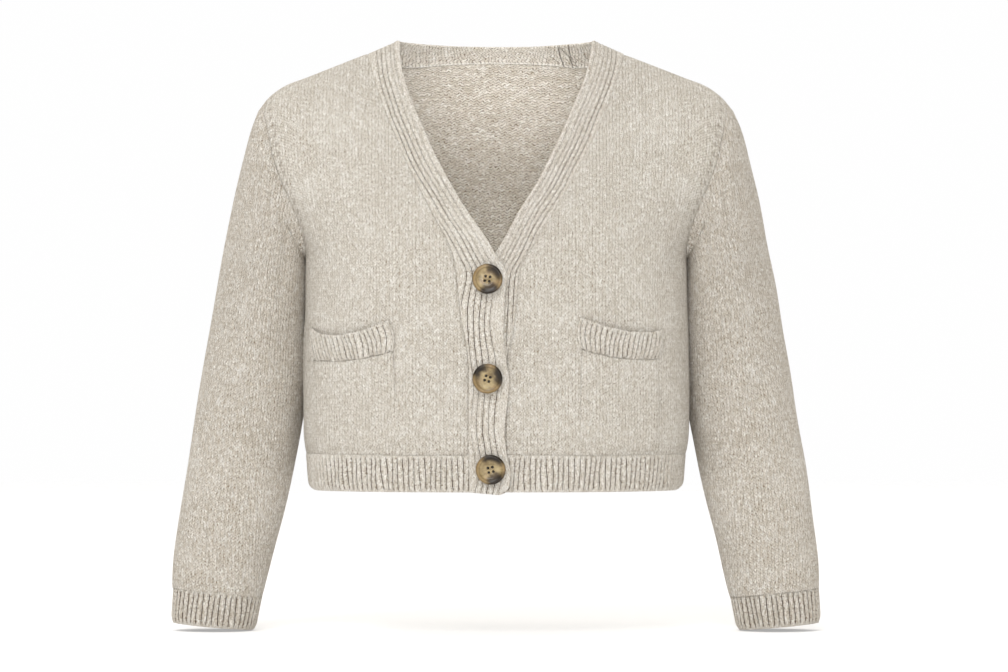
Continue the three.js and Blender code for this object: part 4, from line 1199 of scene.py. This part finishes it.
def button(word, turn, patches):
    """A disc with its axis along +Z and its back at the origin, in millimetres."""
    bpy.ops.object.select_all(action="DESELECT")
    bpy.ops.mesh.primitive_cylinder_add(vertices=96, radius=11.2, depth=0.7, location=(0, 0, 0.35))
    disc = bpy.context.object
    disc.name = f"button_{word}_disc"
    bpy.ops.object.mode_set(mode="EDIT")
    bpy.ops.mesh.select_mode(type="FACE")
    bpy.ops.mesh.select_all(action="DESELECT")
    bpy.ops.object.mode_set(mode="OBJECT")
    for f in disc.data.polygons:
        f.select = f.normal.z > 0.9
    bpy.ops.object.mode_set(mode="EDIT")
    for radius, height in BUTTON_OUTLINE:
        bpy.ops.mesh.extrude_region_move(TRANSFORM_OT_translate={"value": (0, 0, 0)})
        bpy.ops.object.mode_set(mode="OBJECT")
        chosen = [v for v in disc.data.vertices if v.select]
        now = max(math.hypot(v.co.x, v.co.y) for v in chosen)
        for vert in chosen:
            vert.co.x *= radius / now
            vert.co.y *= radius / now
            vert.co.z = height
        bpy.ops.object.mode_set(mode="EDIT")
    bpy.ops.object.mode_set(mode="OBJECT")
    cutters = []
    for a, b in HOLES:
        bpy.ops.object.select_all(action="DESELECT")
        bpy.ops.mesh.primitive_cylinder_add(
            vertices=28, radius=HOLE_RADIUS, depth=12, location=(a * HOLE_OFFSET, b * HOLE_OFFSET, 2)
        )
        cutters.append(bpy.context.object)
    for cutter in cutters:
        cut = disc.modifiers.new("hole", "BOOLEAN")
        cut.operation, cut.object, cut.solver = "DIFFERENCE", cutter, "EXACT"
        select_only(disc)
        bpy.ops.object.modifier_apply(modifier=cut.name)
        bpy.data.objects.remove(cutter)
    soften = disc.modifiers.new("worn_edges", "BEVEL")
    soften.width, soften.segments = 0.22, 2
    soften.limit_method, soften.angle_limit = "ANGLE", math.radians(50)
    select_only(disc)
    bpy.ops.object.modifier_apply(modifier=soften.name)
    bpy.ops.object.shade_smooth_by_angle(angle=math.radians(40))
    for layer in list(disc.data.uv_layers):
        disc.data.uv_layers.remove(layer)
    face_uv = disc.data.uv_layers.new(name="face")
    for loop in disc.data.loops:
        co = disc.data.vertices[loop.vertex_index].co
        face_uv.data[loop.index].uv = (co.x, co.y)
    disc.data.materials.clear()
    disc.data.materials.append(horn(f"horn_{word}", turn, patches))
    return disc


def sewing(word, length):
    """A shank, five turns wound round it under the button, and a strand in each hole."""
    bpy.ops.object.select_all(action="DESELECT")
    bpy.ops.mesh.primitive_cylinder_add(
        vertices=24, radius=1.5, depth=length, location=(0, 0, -length / 2 - 0.2)
    )
    parts = [bpy.context.object]
    for k in range(5):
        bpy.ops.object.select_all(action="DESELECT")
        tilt = (0.12 * math.sin(k), 0.1 * math.cos(2 * k), 0)
        bpy.ops.mesh.primitive_torus_add(
            major_radius=2.4 + 0.2 * math.sin(2.0 * k), minor_radius=0.42,
            major_segments=28, minor_segments=8, location=(0, 0, -0.55 - 0.1 * k), rotation=tilt,
        )
        parts.append(bpy.context.object)
    for a, b in HOLES:
        bpy.ops.object.select_all(action="DESELECT")
        bpy.ops.mesh.primitive_cylinder_add(
            vertices=14, radius=0.78, depth=2.9, location=(a * HOLE_OFFSET, b * HOLE_OFFSET, 0.65)
        )
        parts.append(bpy.context.object)
    bpy.ops.object.select_all(action="DESELECT")
    for part in parts:
        part.select_set(True)
    bpy.context.view_layer.objects.active = parts[0]
    bpy.ops.object.join()
    thread = bpy.context.object
    thread.name = f"thread_{word}_sewing"
    select_only(thread)
    bpy.ops.object.transform_apply(location=True, rotation=True, scale=True)
    bpy.ops.object.shade_smooth_by_angle(angle=math.radians(50))
    thread.data.materials.clear()
    thread.data.materials.append(dark_thread.material)
    return thread


for word, x, z, turn, patches in BUTTONS:
    # the top band's ribs stand 0.9 mm proud of its face
    back_height = band_face(TOP_BAND, TOP_LIFT, -x, z) + 0.9 + SHANK
    length = back_height - band_face(UNDER_BAND, UNDER_LIFT, x, z) - 0.4
    disc = button(word, turn, patches)
    select_only(disc)
    bpy.ops.object.transform_apply(location=True, rotation=True, scale=True)
    strands = sewing(word, length)
    for piece, node, kind in ((disc, f"button_{word}", "horn"), (strands, f"thread_{word}", "thread")):
        seat(piece, x, z, back_height, turn)
        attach(piece, "root")
        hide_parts(node)

# ---------------------------------------------------------------------------
# The setting: a pale floor that melts into a white surround, slightly warm and
# brighter behind. A key light stands high in front, a fill behind the camera
# and a small one inside the body. The camera is level with the pockets.
FLOOR_Z = -0.5884
bpy.ops.object.select_all(action="DESELECT")
bpy.ops.mesh.primitive_plane_add(size=1, location=(0, 0, FLOOR_Z))
floor = bpy.context.object
floor.name = "studio_floor"
bpy.ops.object.mode_set(mode="EDIT")
bpy.ops.transform.resize(value=(14, 14, 1))
bpy.ops.object.mode_set(mode="OBJECT")
paper = new_material("white_paper")
where = paper.node("ShaderNodeTexCoord").out("Object")
grain = paper.node("ShaderNodeTexNoise", {}, {"Vector": where, "Scale": 40.0}).out(0)
apart = paper.node("ShaderNodeSeparateXYZ", {}, [where])
px, py = apart.out(0), apart.out(1)
paper.feed("Base Color", paper.mix(grain, (0.71, 0.71, 0.71, 1), (0.73, 0.73, 0.73, 1)))
paper.feed("Roughness", 0.9)
paper.feed("Alpha", 1.0 - (px * px + py * py).ramp(2.5, 30.0))
paper.shader.inputs["Specular IOR Level"].default_value = 0.0
paper.shader.inputs["Emission Color"].default_value = (1, 1, 1, 1)
paper.shader.inputs["Emission Strength"].default_value = 0.35
floor.data.materials.append(paper.material)

world = bpy.data.worlds.new("studio")
bpy.context.scene.world = world
surround = Net(world, "Background")
way = surround.node("ShaderNodeTexCoord").out("Generated")
heading = surround.node("ShaderNodeSeparateXYZ", {}, [way])
level = heading.out(1).ramp(-0.35, 0.7, 0.34, 1.15) + heading.out(2).ramp(0.0, 0.9, 0.0, 0.4)
seen = surround.node("ShaderNodeLightPath").out("Is Camera Ray")
surround.feed("Strength", surround.node("ShaderNodeMix", {}, {0: seen, 2: level, 3: 0.995}).out(0))
surround.feed("Color", surround.mix(seen, (1, 0.97, 0.925, 1), (1, 1, 1, 1)))


def softbox(name, at, look, size, power):
    """A soft rectangular light at one place, turned to look at another."""
    data = bpy.data.lights.new(name, "AREA")
    data.shape, data.size, data.size_y, data.energy = "RECTANGLE", size[0], size[1], power
    lamp = bpy.data.objects.new(name, data)
    bpy.context.collection.objects.link(lamp)
    lamp.location = at
    lamp.rotation_euler = (Vector(look) - Vector(at)).to_track_quat("-Z", "Y").to_euler()
    return lamp


softbox("key", (-0.75, -2.7, 2.3), (0, 0, -0.25), (2.2, 1.7), 80)
softbox("fill", (0.3, -6.4, 0.2), (0, 0, -0.2), (1.6, 1.0), 75)
inside = softbox("inside_fill", (0, -0.05, -0.22), (0, 0.05, 0.0), (0.16, 0.06), 0.085)
inside.visible_camera = False
inside.data.spread = math.radians(75)

camera_data = bpy.data.cameras.new("camera")
camera = bpy.data.objects.new("camera", camera_data)
bpy.context.collection.objects.link(camera)
DISTANCE, VIEW_WIDTH = 5.0, 1.008      # from the camera to the wearer's middle, and what it takes in there
camera.location = (0.008, -DISTANCE, -0.294)
camera.rotation_euler = (math.pi / 2, 0, 0)
camera_data.sensor_width = 36.0
camera_data.lens = camera_data.sensor_width * DISTANCE / VIEW_WIDTH
camera_data.clip_end = 100
bpy.context.scene.camera = camera
bpy.context.scene.view_settings.view_transform = "Standard"
